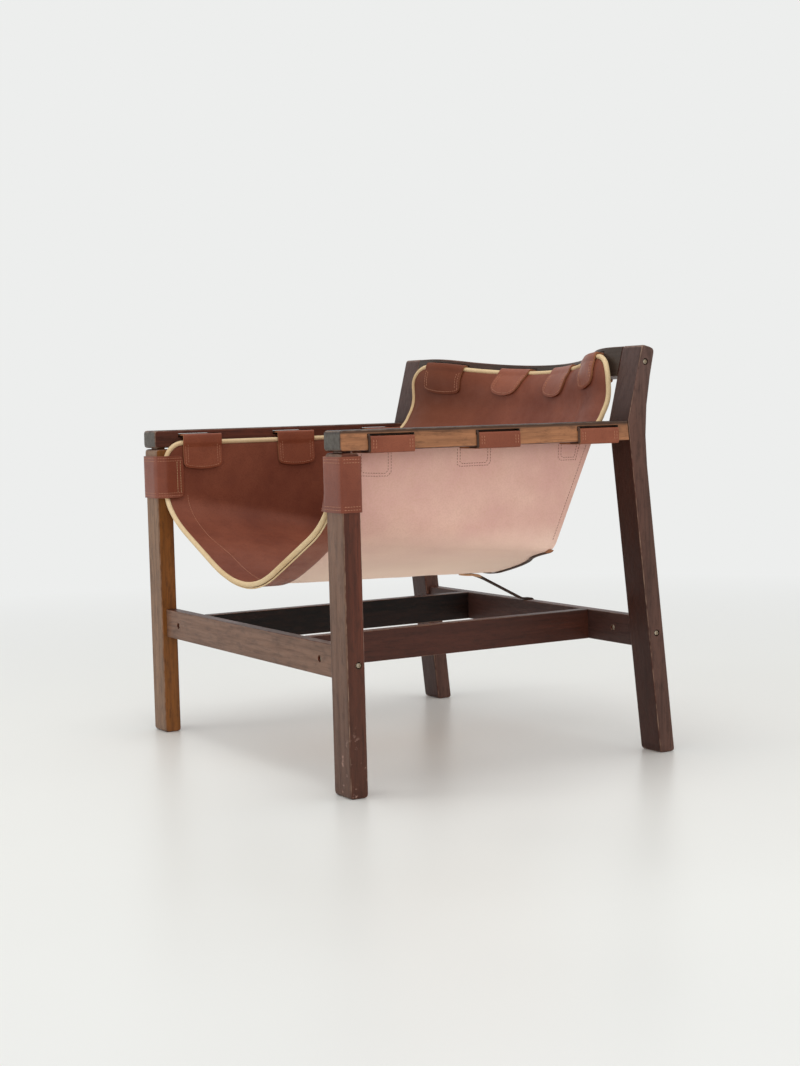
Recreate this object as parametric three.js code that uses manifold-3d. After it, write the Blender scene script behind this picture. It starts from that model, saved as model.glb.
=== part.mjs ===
// Lounge chair: a leather sling hung by loops in a bolted hardwood frame.
// Millimetres, +Z up. The sitter looks along -Y, so +X is the sitter's left.
// Y = 0 is the front face of the front legs while the chair is drawn.
// At the end the whole chair is centred over its footprint, on the floor.

import * as THREE from 'three';
import { mergeVertices } from 'three/addons/utils/BufferGeometryUtils.js';
import ManifoldModule from 'manifold-3d';

const wasm = await ManifoldModule();
wasm.setup();

// Clearances
const FIT = 0.3;
const SEAM_GAP = 1.3;
const HEM_GAP = 0.6;
const RAIL_FIT = 0.5;
const TAB_GAP = 1.5;

// Legs and arms
const CHAIR_WIDTH = 714;
const LEG_WIDTH = 50;
const FRONT_LEG_DEPTH = 29;
const EDGE_ROUND = 3;
const CORNER_ROUND = 2 * EDGE_ROUND;
const ARM_TOP = 523;
const ARM_THICK = 30;
const ARM_OVERHANG = 1.5;
const SHADOW_GAP = 2;
const TENON_WIDTH = 26;
const TENON_DEPTH = 14;
const TENON_HEIGHT = 14;
const REAR_FOOT_Y = 556;
const REAR_FOOT_DEPTH = 28.5;
const KINK_Y = 502.7;
const KINK_DEPTH = 30;
const KINK_ROUND_SHARE = 0.6;
const UPPER_RAKE = THREE.MathUtils.degToRad(14.5);
const REAR_LEG_TOP = 640;
const REAR_TOP_DEPTH = 25;
const REAR_TOP_ROUND = 8;

// Stretchers and side rails
const STRETCHER_LOW = 166.5;
const STRETCHER_HEIGHT = 48;
const STRETCHER_THICK = 20;
const STRETCHER_EDGE = 2;
const FRONT_SETBACK = 8.5;
const REAR_SETBACK = 5;
const SIDE_RAIL_INSET = 115;
const SIDE_RAIL_THICK = 20;
const SIDE_TENON_THICK = 9;
const SIDE_TENON_HEIGHT = 28;
const SIDE_TENON_LENGTH = 11;

// Bowed back rail
const RAIL_HEIGHT = 48;
const RAIL_THICK = 22;
const RAIL_EDGE = 2.5;
const RAIL_DROP = 1;
const RAIL_SETBACK = 0.5;
const RAIL_BOW = 81;
const RAIL_END_FLAT = 29;
const RAIL_END_RADIUS = 140;

// Bolts, barrel nuts and dowels
const BOLT_DIA = 6;
const HEAD_DIA = 10;
const HEAD_HEIGHT = 6;
const HEAD_SINK = 0.5;
const SOCKET_DIA = 5.6;
const SOCKET_DEPTH = 3;
const NUT_DIA = 10;
const NUT_LENGTH = 14;
const NUT_INSET = 50;
const NUT_WALL = 2;
const BOLT_PAST_NUT = 8;
const DOWEL_DIA = 8;
const DOWEL_REACH = 18;
const ARM_DOWEL_SPREAD = 24;
const ARM_DOWEL_RISE = 9.5;
const STRETCHER_DOWEL_DROP = 14;
const RAIL_DOWEL_DROP = 14;

// Leather
const SLING_THICK = 3.5;
const STRAP_THICK = 3.2;
const HEM_THICK = 2.2;
const HEM_WIDTH = 45;
const PIPING_DIA = 7;
const STRAP_WIDTH = 72;
const STRAP_BEND = 2;
const TAB_ROUND = 16;
const SLOT_HEIGHT = 7;
const SLOT_COVER = 6;
const SLOT_SLACK = 4;
const ARM_LOOP_COUNT = 3;
const ARM_LOOP_REAR_INSET = 20.7;
const ARM_TAB_DROP = 68;
const ARM_TUCK = 2.5;
const RAIL_LOOP_COUNT = 4;
const RAIL_LOOP_PITCH = 148;
const RAIL_TAB_DROP = 58;
const RAIL_TUCK = 12;
const BAND_CLEAR = 3;
const BAND_TAB_END = 45;
const BAND_TUCK = 5;

// Seat trough: shape of its front edge, of its rear seam, and its rims
const ARM_PIPING_RISE = 7.3;
const SEAT_FRONT_Y = 19;
const SEAT_CORNER = 30;
const FRONT_BOTTOM = 276;
const FRONT_KNUCKLE_RISE = 112;
const FRONT_CROWN_RUN = 126;
const FRONT_KNUCKLE_RUN = 22;
const REAR_BOTTOM = 269.5;
const REAR_KNUCKLE_INSET = 22;
const REAR_KNUCKLE_RISE = 58;
const REAR_CROWN_RUN = 40;
const REAR_KNUCKLE_RUN = 28;
const SEAM_MARGIN = 10;

// Back panel: piping line on the rail, free edges above the arms, and its drawn-in foot
const BACK_PIPING_DROP = 17.5;
const BACK_EDGE_INSET = 21;
const BACK_CORNER = 30;
const BACK_NECK = 34;
const BACK_STRAIGHT = 58;
const BACK_DRAW = 40;
const BACK_DRAW_DROP = 310;
const BACK_PIPING_CLEAR = 12;

// Tie strap from the seat's bottom to the rear stretcher
const TIE_WIDTH = 38;
const TIE_THICK = 3;
const TIE_SEWN = 64;
const TIE_SAG = 9;
const TIE_TAIL = 30;
const SCREW_HEAD_DIA = 9;
const SCREW_HEAD_HEIGHT = 2.5;
const SCREW_DIA = 4;
const SCREW_LENGTH = 16;

// Facets
const ROUND_SIDES = 12;
const PIPING_SIDES = 8;
const CORNER_STEPS = 7;
const BACK_PIPING_TOP_STEPS = 14;
const BACK_PIPING_SIDE_STEPS = 6;
const RAIL_STEPS = 44;
const LOOP_STEPS = 6;

// Finishes
const ROSEWOOD = { color: 0x4a2a20, roughness: 0.42, metalness: 0 };
const BEECH = { color: 0xb98d5c, roughness: 0.7, metalness: 0 };
const LEATHER = { color: 0x733c2b, roughness: 0.5, metalness: 0 };
const STRAP_LEATHER = { color: 0x8c5038, roughness: 0.5, metalness: 0 };
const CREAM_LEATHER = { color: 0xcdb083, roughness: 0.6, metalness: 0 };
const STEEL = { color: 0x8f8a7e, roughness: 0.35, metalness: 1 };

// Derived places
const HALF_WIDTH = CHAIR_WIDTH / 2;
const INNER_HALF = HALF_WIDTH - LEG_WIDTH;
const LEG_X = HALF_WIDTH - LEG_WIDTH / 2;
const ARM_LOW = ARM_TOP - ARM_THICK;
const SHOULDER = ARM_LOW - SHADOW_GAP;
const STRETCHER_MID = STRETCHER_LOW + STRETCHER_HEIGHT / 2;
const FRONT_STRETCHER_Y = FRONT_SETBACK + STRETCHER_THICK / 2;
const REAR_STRETCHER_Y = rearLegFront(STRETCHER_MID) + REAR_SETBACK + STRETCHER_THICK / 2;
const SIDE_RAIL_X = INNER_HALF - SIDE_RAIL_INSET - SIDE_RAIL_THICK / 2;
const KINK_ROUND = KINK_ROUND_SHARE * (REAR_LEG_TOP - ARM_TOP);
const REAR_TOP_Y = KINK_Y + (REAR_LEG_TOP - ARM_TOP) * Math.tan(UPPER_RAKE);
const RAIL_TOP_Z = REAR_LEG_TOP - RAIL_DROP;
const RAIL_FRONT_Y = REAR_TOP_Y - RAIL_DROP * Math.tan(UPPER_RAKE) + RAIL_SETBACK;
const RAKE_SIN = Math.sin(UPPER_RAKE);
const RAKE_COS = Math.cos(UPPER_RAKE);
const BOLT_BORE = BOLT_DIA + 2 * FIT;
const PIPING_R = PIPING_DIA / 2;
const PIPING_OUT = PIPING_R + FIT;
const BACK_PIPING_OUT = PIPING_R + RAIL_FIT;
const STRAP_OUT = FIT + STRAP_THICK / 2;
const SLING_OUT = STRAP_THICK + 2 * FIT + SLING_THICK / 2;
const SLING_X = INNER_HALF - SLING_OUT;
const BACK_OUT = STRAP_THICK + 2 * RAIL_FIT + SLING_THICK / 2;
const RIM_Z = ARM_LOW + ARM_PIPING_RISE - PIPING_OUT;
const ARM_LOOP_FIRST = BAND_TAB_END + TAB_GAP + STRAP_WIDTH / 2;
const ARM_LOOP_LAST = KINK_Y - ARM_LOOP_REAR_INSET - STRAP_WIDTH / 2;
const BACK_EDGE_X = INNER_HALF - BACK_EDGE_INSET;
const BAND_LOW = FRONT_BOTTOM + FRONT_KNUCKLE_RISE + FRONT_KNUCKLE_RUN + BAND_CLEAR;

// Front face of a rear leg at height z, below its kink
function rearLegFront(z) {
  return REAR_FOOT_Y - (REAR_FOOT_Y - KINK_Y) * z / ARM_TOP;
}

// Solids from geometry and back, for cuts and joins
function toSolid(geometry) {
  const bare = geometry.clone();
  bare.deleteAttribute('normal');
  bare.deleteAttribute('uv');
  const merged = mergeVertices(bare, 1e-4);
  const corners = merged.index.array;
  const kept = [];
  for (let i = 0; i < corners.length; i += 3) {
    const [a, b, c] = [corners[i], corners[i + 1], corners[i + 2]];
    if (a !== b && b !== c && c !== a) kept.push(a, b, c);
  }
  const mesh = new wasm.Mesh({
    numProp: 3,
    vertProperties: Float32Array.from(merged.attributes.position.array),
    triVerts: Uint32Array.from(kept),
  });
  return new wasm.Manifold(mesh);
}

function toGeometry(solid) {
  const mesh = solid.getMesh();
  const geometry = new THREE.BufferGeometry();
  geometry.setAttribute('position', new THREE.BufferAttribute(mesh.vertProperties, 3));
  geometry.setIndex(new THREE.BufferAttribute(mesh.triVerts, 1));
  geometry.computeVertexNormals();
  return geometry;
}

function cut(geometry, cutters) {
  let solid = toSolid(geometry);
  for (const cutter of cutters) solid = solid.subtract(toSolid(cutter));
  return toGeometry(solid);
}

function join(first, second) {
  return toGeometry(toSolid(first).add(toSolid(second)));
}

// A straight round bar between two points
function rod(diameter, from, to) {
  const run = to.clone().sub(from);
  const bar = new THREE.CylinderGeometry(diameter / 2, diameter / 2, run.length(), ROUND_SIDES);
  const turn = new THREE.Quaternion().setFromUnitVectors(new THREE.Vector3(0, 1, 0), run.clone().normalize());
  bar.applyQuaternion(turn);
  const middle = from.clone().lerp(to, 0.5);
  return bar.translate(middle.x, middle.y, middle.z);
}

// A box from its low corner to its high corner
function block(low, high) {
  const size = high.clone().sub(low);
  const box = new THREE.BoxGeometry(size.x, size.y, size.z);
  return box.translate((low.x + high.x) / 2, (low.y + high.y) / 2, (low.z + high.z) / 2);
}

function at(x, y, z) {
  return new THREE.Vector3(x, y, z);
}

// A closed outline whose corners are rounded, each corner given as [across, up, round]
function roundedOutline(corners) {
  const shape = new THREE.Shape();
  corners.forEach(([x, y, round], i) => {
    const here = new THREE.Vector2(x, y);
    const before = corners[(i + corners.length - 1) % corners.length];
    const after = corners[(i + 1) % corners.length];
    const toBefore = new THREE.Vector2(before[0] - x, before[1] - y).setLength(round);
    const toAfter = new THREE.Vector2(after[0] - x, after[1] - y).setLength(round);
    const enter = here.clone().add(toBefore);
    const leave = here.clone().add(toAfter);
    if (i === 0) shape.moveTo(enter.x, enter.y);
    else shape.lineTo(enter.x, enter.y);
    if (round > 0) shape.quadraticCurveTo(x, y, leave.x, leave.y);
  });
  shape.closePath();
  return shape;
}

function roundedRectangle(low, high, round) {
  return roundedOutline([
    [low[0], low[1], round],
    [high[0], low[1], round],
    [high[0], high[1], round],
    [low[0], high[1], round],
  ]);
}

// An outline drawn in (y, z), run along x, with its end edges rounded by bevel
function runAlongX(shape, from, to, bevel = 0, steps = 1, facets = 3) {
  const geometry = new THREE.ExtrudeGeometry(shape, {
    depth: to - from - 2 * bevel,
    steps,
    curveSegments: facets,
    bevelEnabled: bevel > 0,
    bevelThickness: bevel,
    bevelSize: bevel,
    bevelOffset: -bevel,
    bevelSegments: 2,
  });
  const axes = new THREE.Matrix4().makeBasis(at(0, 1, 0), at(0, 0, 1), at(1, 0, 0));
  return geometry.applyMatrix4(axes).translate(from + bevel, 0, 0);
}

// An outline drawn in (x, z), run along y
function runAlongY(shape, from, to) {
  const geometry = new THREE.ExtrudeGeometry(shape, {
    depth: to - from,
    curveSegments: 3,
    bevelEnabled: false,
  });
  const axes = new THREE.Matrix4().makeBasis(at(1, 0, 0), at(0, 0, 1), at(0, -1, 0));
  return geometry.applyMatrix4(axes).translate(0, to, 0);
}

// An outline drawn in (x, y), run up z
function runUp(shape, from, to) {
  const geometry = new THREE.ExtrudeGeometry(shape, {
    depth: to - from,
    curveSegments: 3,
    bevelEnabled: false,
  });
  return geometry.translate(0, 0, from);
}

// The outline of a strip of even thickness along a bent line
function stripOutline(line, thickness) {
  const left = [];
  const right = [];
  line.forEach((point, i) => {
    const before = line[Math.max(i - 1, 0)];
    const after = line[Math.min(i + 1, line.length - 1)];
    const into = point.clone().sub(before);
    const out = after.clone().sub(point);
    if (i === 0) into.copy(out);
    if (i === line.length - 1) out.copy(into);
    into.normalize();
    out.normalize();
    const mitre = into.clone().add(out).normalize();
    const half = thickness / 2 / mitre.dot(out);
    const side = new THREE.Vector2(-mitre.y, mitre.x).multiplyScalar(half);
    left.push(point.clone().add(side));
    right.unshift(point.clone().sub(side));
  });
  return new THREE.Shape([...left, ...right]);
}

// A bent line through corner points, each corner softened by the same bend
function softBends(corners, bend) {
  const path = new THREE.Path();
  path.moveTo(corners[0].x, corners[0].y);
  for (let i = 1; i < corners.length - 1; i += 1) {
    const here = corners[i];
    const toBefore = corners[i - 1].clone().sub(here);
    const toAfter = corners[i + 1].clone().sub(here);
    const reach = Math.min(bend, toBefore.length() / 2.1, toAfter.length() / 2.1);
    const enter = here.clone().add(toBefore.setLength(reach));
    const leave = here.clone().add(toAfter.setLength(reach));
    path.lineTo(enter.x, enter.y);
    path.quadraticCurveTo(here.x, here.y, leave.x, leave.y);
  }
  const last = corners[corners.length - 1];
  path.lineTo(last.x, last.y);
  return path.getPoints(3);
}

// A closed sheet of leather around a grid of points, grid[across][along].
// low and high are its two faces, measured along the grid's own normal.
function leatherSheet(grid, low, high) {
  const columns = grid.length;
  const rows = grid[0].length;
  const positions = [];
  const faces = [];
  for (const offset of [high, low]) {
    for (let i = 0; i < columns; i += 1) {
      for (let j = 0; j < rows; j += 1) {
        const across = grid[Math.min(i + 1, columns - 1)][j].clone().sub(grid[Math.max(i - 1, 0)][j]);
        const along = grid[i][Math.min(j + 1, rows - 1)].clone().sub(grid[i][Math.max(j - 1, 0)]);
        const normal = across.cross(along).normalize();
        const point = grid[i][j].clone().addScaledVector(normal, offset);
        positions.push(point.x, point.y, point.z);
      }
    }
  }
  const upper = (i, j) => i * rows + j;
  const lower = (i, j) => columns * rows + i * rows + j;
  const quad = (a, b, c, d) => faces.push(a, b, c, a, c, d);
  for (let i = 0; i < columns - 1; i += 1) {
    for (let j = 0; j < rows - 1; j += 1) {
      quad(upper(i, j), upper(i + 1, j), upper(i + 1, j + 1), upper(i, j + 1));
      quad(lower(i, j), lower(i, j + 1), lower(i + 1, j + 1), lower(i + 1, j));
    }
    const end = rows - 1;
    quad(upper(i, 0), lower(i, 0), lower(i + 1, 0), upper(i + 1, 0));
    quad(upper(i, end), upper(i + 1, end), lower(i + 1, end), lower(i, end));
  }
  for (let j = 0; j < rows - 1; j += 1) {
    const end = columns - 1;
    quad(upper(0, j), upper(0, j + 1), lower(0, j + 1), lower(0, j));
    quad(upper(end, j), lower(end, j), lower(end, j + 1), upper(end, j + 1));
  }
  const geometry = new THREE.BufferGeometry();
  geometry.setAttribute('position', new THREE.Float32BufferAttribute(positions, 3));
  geometry.setIndex(faces);
  geometry.computeVertexNormals();
  return geometry;
}

// Round piping whose rings stand at the given points, so that tight corners keep theirs
function pipingTube(points) {
  const section = new THREE.Shape();
  for (let i = 0; i < PIPING_SIDES; i += 1) {
    const angle = 2 * Math.PI * i / PIPING_SIDES;
    const [x, y] = [PIPING_R * Math.cos(angle), PIPING_R * Math.sin(angle)];
    if (i === 0) section.moveTo(x, y);
    else section.lineTo(x, y);
  }
  section.closePath();
  const route = new THREE.CatmullRomCurve3(points);
  route.getUtoTmapping = (share) => share;
  return new THREE.ExtrudeGeometry(section, { steps: points.length - 1, extrudePath: route, bevelEnabled: false });
}

// The back rail's plan: straight ends, a reverse curve, then one long bow backwards.
const BOW_START = INNER_HALF - RAIL_END_FLAT;
const BOW_ANGLE = 2 * Math.atan2(RAIL_BOW, BOW_START);
const BOW_RADIUS = BOW_START / Math.sin(BOW_ANGLE) - RAIL_END_RADIUS;
const BOW_TURN = BOW_RADIUS * Math.sin(BOW_ANGLE);

function bowAt(x) {
  const far = Math.abs(x);
  if (far >= BOW_START) return 0;
  if (far <= BOW_TURN) return RAIL_BOW - BOW_RADIUS + Math.sqrt(BOW_RADIUS ** 2 - far ** 2);
  return RAIL_END_RADIUS - Math.sqrt(RAIL_END_RADIUS ** 2 - (BOW_START - far) ** 2);
}

function bowSlope(x) {
  const far = Math.abs(x);
  if (far >= BOW_START) return 0;
  if (far <= BOW_TURN) return -x / Math.sqrt(BOW_RADIUS ** 2 - far ** 2);
  const left = BOW_START - far;
  return -Math.sign(x) * left / Math.sqrt(RAIL_END_RADIUS ** 2 - left ** 2);
}

// A place on the rail: x along it, depth behind its front face, rise above its top edge
function onRail(x, depth, rise) {
  const slope = bowSlope(x);
  const length = Math.hypot(1, slope);
  const back = bowAt(x) + depth / length;
  return at(
    x - depth * slope / length,
    RAIL_FRONT_Y + back * RAKE_COS + rise * RAKE_SIN,
    RAIL_TOP_Z - back * RAKE_SIN + rise * RAKE_COS,
  );
}

function bendToRail(geometry) {
  const places = geometry.attributes.position;
  for (let i = 0; i < places.count; i += 1) {
    const bent = onRail(places.getX(i), places.getY(i), places.getZ(i));
    places.setXYZ(i, bent.x, bent.y, bent.z);
  }
  geometry.computeVertexNormals();
  return geometry;
}

// A place on the back panel's middle surface, drop below the rail's top edge.
// Below the rail the leather is drawn forward, more the lower it goes.
function onBack(x, drop) {
  const place = onRail(x, -BACK_OUT, -drop);
  const share = Math.max(drop - BACK_STRAIGHT, 0) / (BACK_DRAW_DROP - BACK_STRAIGHT);
  const draw = BACK_DRAW * share ** 2;
  return place.add(at(0, -draw * RAKE_COS, draw * RAKE_SIN));
}

function dropAtHeight(x, z) {
  let drop = 0;
  for (let i = 0; i < 12; i += 1) drop += (onBack(x, drop).z - z) / RAKE_COS;
  return drop;
}

// Half of a trough section, from its bottom centre out and up to its rim, in (x, z)
const CROWN_STEPS = 4;
const SLOPE_STEPS = 10;
const KNUCKLE_STEPS = 4;
const WALL_STEPS = 2;
const WALL_START = CROWN_STEPS + SLOPE_STEPS + KNUCKLE_STEPS;
const RIM = WALL_START + WALL_STEPS;

function halfSection(bottom, knuckleX, knuckleRise, crownRun, knuckleRun, rimX) {
  const slope = knuckleRise / (knuckleX - crownRun / 2);
  const knuckle = new THREE.Vector2(knuckleX, bottom + knuckleRise);
  const rim = new THREE.Vector2(rimX, RIM_Z);
  const crownEnd = new THREE.Vector2(crownRun, bottom + slope * crownRun / 2);
  const crown = new THREE.QuadraticBezierCurve(
    new THREE.Vector2(0, bottom),
    new THREE.Vector2(crownRun / 2, bottom),
    crownEnd,
  );
  const enter = knuckle.clone().add(crownEnd.clone().sub(knuckle).setLength(knuckleRun));
  const leave = knuckle.clone().add(rim.clone().sub(knuckle).setLength(knuckleRun));
  const bend = new THREE.QuadraticBezierCurve(enter, knuckle, leave);
  const points = crown.getPoints(CROWN_STEPS);
  points.push(...new THREE.LineCurve(crownEnd, enter).getPoints(SLOPE_STEPS).slice(1));
  points.push(...bend.getPoints(KNUCKLE_STEPS).slice(1));
  points.push(...new THREE.LineCurve(leave, rim).getPoints(WALL_STEPS).slice(1));
  return points;
}

const frontSection = halfSection(
  FRONT_BOTTOM, SLING_X, FRONT_KNUCKLE_RISE, FRONT_CROWN_RUN, FRONT_KNUCKLE_RUN, SLING_X);
const rearSection = halfSection(
  REAR_BOTTOM, INNER_HALF - REAR_KNUCKLE_INSET, REAR_KNUCKLE_RISE, REAR_CROWN_RUN, REAR_KNUCKLE_RUN, SLING_X);
const frontEdge = frontSection.map((p) => at(p.x, SEAT_FRONT_Y, p.y));
const rearSeam = rearSection.map((p) => onBack(p.x, dropAtHeight(p.x, p.y)));

// The rim's height above a place y: level, with a rounded front corner
function rimHeight(y) {
  const short = Math.max(SEAT_CORNER - (y - SEAT_FRONT_Y), 0);
  return RIM_Z - SEAT_CORNER + Math.sqrt(SEAT_CORNER ** 2 - Math.min(short, SEAT_CORNER) ** 2);
}

// A place on the seat's middle surface: straight lines run from the front edge to the rear seam
function onSeat(i, t) {
  const side = i < 0 ? -1 : 1;
  const n = Math.abs(i);
  const place = frontEdge[n].clone().lerp(rearSeam[n], t);
  if (n > WALL_START) {
    const foot = frontEdge[WALL_START].clone().lerp(rearSeam[WALL_START], t);
    const share = (n - WALL_START) / WALL_STEPS;
    place.z = foot.z + (rimHeight(place.y) - foot.z) * share;
  }
  place.x *= side;
  return place;
}

function seatShare(i, distance) {
  const n = Math.abs(i);
  return distance / frontEdge[n].distanceTo(rearSeam[n]);
}

function seatGrid(reach, distances, seamMargin) {
  const grid = [];
  for (let i = -reach; i <= reach; i += 1) {
    const column = distances.map((d) => onSeat(i, seatShare(i, d)));
    if (seamMargin > 0) {
      for (const share of [0.25, 0.5, 0.75, 1]) {
        const start = seatShare(i, distances[distances.length - 1]);
        column.push(onSeat(i, start + (1 - start) * share));
      }
      column.push(onSeat(i, 1 + seatShare(i, seamMargin)));
    }
    grid.push(column);
  }
  return grid;
}

// Middle of the seat's wall at a place y and a height z, as x
function wallX(y, z) {
  const t = (y - SEAT_FRONT_Y) / (rearSeam[RIM].y - SEAT_FRONT_Y);
  const foot = onSeat(WALL_START, t);
  const rim = onSeat(RIM, t);
  const share = THREE.MathUtils.clamp((z - foot.z) / (rim.z - foot.z), 0, 1);
  return foot.x + (rim.x - foot.x) * share;
}

// The chair, piece by piece
const chair = new THREE.Group();

function addPiece(name, geometry, finish) {
  const mesh = new THREE.Mesh(geometry, new THREE.MeshStandardMaterial(finish));
  mesh.name = name;
  chair.add(mesh);
}

const SIDES = [
  { name: 'left', side: 1 },
  { name: 'right', side: -1 },
];

// A bolt's bore through a leg, with a counterbore for its head
function legBore(side, y, z) {
  const face = side * HALF_WIDTH;
  const seat = side * (HALF_WIDTH - HEAD_HEIGHT - HEAD_SINK);
  return [
    rod(BOLT_BORE, at(side * (INNER_HALF - 1), y, z), at(face, y, z)),
    rod(HEAD_DIA + 2 * FIT, at(seat, y, z), at(face + side, y, z)),
  ];
}

// The bore for a bolt in a beam's end, from the leg's inner face past its barrel nut
function beamBore(side, y, z) {
  const end = INNER_HALF - NUT_INSET - BOLT_PAST_NUT - 1;
  return rod(BOLT_BORE, at(side * end, y, z), at(side * (INNER_HALF + 1), y, z));
}

// The hole for a dowel that crosses from a leg into a beam, with a little slack at each end
function sideDowel(side, y, z, slack) {
  const reach = DOWEL_REACH + slack;
  const from = at(side * (INNER_HALF - reach), y, z);
  const to = at(side * (INNER_HALF + reach), y, z);
  return rod(DOWEL_DIA + 2 * slack, from, to);
}

// Where the bolts sit: front stretcher, rear stretcher and back rail
const railMiddle = onRail(INNER_HALF, RAIL_THICK / 2, -RAIL_HEIGHT / 2);
const railDowel = onRail(INNER_HALF, RAIL_THICK / 2, -RAIL_HEIGHT / 2 - RAIL_DOWEL_DROP);
const JOINTS = {
  front: { y: FRONT_STRETCHER_Y, z: STRETCHER_MID },
  rear: { y: REAR_STRETCHER_Y, z: STRETCHER_MID },
  rail: { y: railMiddle.y, z: railMiddle.z },
};
const DOWELS = {
  front: { y: FRONT_STRETCHER_Y, z: STRETCHER_MID - STRETCHER_DOWEL_DROP },
  rear: { y: REAR_STRETCHER_Y, z: STRETCHER_MID - STRETCHER_DOWEL_DROP },
  rail: { y: railDowel.y, z: railDowel.z },
};

// The direction that a barrel nut's hole opens towards, and the run of the hole from its middle
const NUT_WAYS = {
  front: { way: at(0, -1, 0), wall: STRETCHER_THICK / 2 - NUT_WALL, open: STRETCHER_THICK / 2 + 1 },
  rear: { way: at(0, -1, 0), wall: STRETCHER_THICK / 2 - NUT_WALL, open: STRETCHER_THICK / 2 + 1 },
  rail: {
    way: at(0, RAKE_COS, -RAKE_SIN),
    wall: RAIL_THICK / 2 - NUT_WALL,
    open: RAIL_THICK / 2 + RAIL_END_RADIUS / 10,
  },
};

function nutHole(side, joint) {
  const { way, wall, open } = NUT_WAYS[joint];
  const middle = at(side * (INNER_HALF - NUT_INSET), JOINTS[joint].y, JOINTS[joint].z);
  const inner = middle.clone().addScaledVector(way, -wall);
  const outer = middle.clone().addScaledVector(way, open);
  return rod(NUT_DIA + 2 * FIT, inner, outer);
}

function beamCuts(joint) {
  const cuts = [];
  for (const { side } of SIDES) {
    cuts.push(beamBore(side, JOINTS[joint].y, JOINTS[joint].z));
    cuts.push(sideDowel(side, DOWELS[joint].y, DOWELS[joint].z, FIT));
    cuts.push(nutHole(side, joint));
  }
  return cuts;
}

// Front legs, each with a stub tenon that stands up into its arm
function frontLeg(side) {
  const outline = roundedRectangle([0, 0], [FRONT_LEG_DEPTH, SHOULDER], CORNER_ROUND);
  const outer = Math.max(side * HALF_WIDTH, side * INNER_HALF);
  const post = runAlongX(outline, outer - LEG_WIDTH, outer, EDGE_ROUND);
  const tenonLow = at(-TENON_WIDTH / 2, -TENON_DEPTH / 2, -EDGE_ROUND);
  const tenonHigh = at(TENON_WIDTH / 2, TENON_DEPTH / 2, SHADOW_GAP + TENON_HEIGHT);
  const tenon = block(tenonLow, tenonHigh).translate(side * LEG_X, FRONT_LEG_DEPTH / 2, SHOULDER);
  const cuts = legBore(side, JOINTS.front.y, JOINTS.front.z);
  cuts.push(sideDowel(side, DOWELS.front.y, DOWELS.front.z, FIT));
  return cut(join(post, tenon), cuts);
}

// Dowels that hold an arm's rear end to the rear leg
const ARM_DOWEL_Z = ARM_LOW + ARM_DOWEL_RISE;

function armDowel(side, shift, slack) {
  const x = side * LEG_X + shift;
  const middle = rearLegFront(ARM_DOWEL_Z);
  const reach = DOWEL_REACH + slack;
  return rod(DOWEL_DIA + 2 * slack, at(x, middle - reach, ARM_DOWEL_Z), at(x, middle + reach, ARM_DOWEL_Z));
}

const ARM_DOWEL_SHIFTS = [-ARM_DOWEL_SPREAD / 2, ARM_DOWEL_SPREAD / 2];

// Rear legs: a raked foot, a kink at the arm, and a raked top that carries the back rail
function rearLeg(side) {
  const topBackY = REAR_TOP_Y + REAR_TOP_DEPTH * RAKE_COS;
  const topBackZ = REAR_LEG_TOP - REAR_TOP_DEPTH * RAKE_SIN;
  const outline = roundedOutline([
    [REAR_FOOT_Y, 0, CORNER_ROUND],
    [REAR_FOOT_Y + REAR_FOOT_DEPTH, 0, CORNER_ROUND],
    [KINK_Y + KINK_DEPTH, ARM_TOP, KINK_ROUND],
    [topBackY, topBackZ, REAR_TOP_ROUND],
    [REAR_TOP_Y, REAR_LEG_TOP, CORNER_ROUND],
    [KINK_Y, ARM_TOP, 0],
  ]);
  const outer = Math.max(side * HALF_WIDTH, side * INNER_HALF);
  const post = runAlongX(outline, outer - LEG_WIDTH, outer, EDGE_ROUND);
  const cuts = [
    ...legBore(side, JOINTS.rear.y, JOINTS.rear.z),
    ...legBore(side, JOINTS.rail.y, JOINTS.rail.z),
    sideDowel(side, DOWELS.rear.y, DOWELS.rear.z, FIT),
    sideDowel(side, DOWELS.rail.y, DOWELS.rail.z, FIT),
  ];
  for (const shift of ARM_DOWEL_SHIFTS) cuts.push(armDowel(side, shift, FIT));
  return cut(post, cuts);
}

// Where the loops stand along an arm
function armLoopPlaces() {
  const pitch = (ARM_LOOP_LAST - ARM_LOOP_FIRST) / (ARM_LOOP_COUNT - 1);
  return Array.from({ length: ARM_LOOP_COUNT }, (_, i) => ARM_LOOP_FIRST + i * pitch);
}

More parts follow.
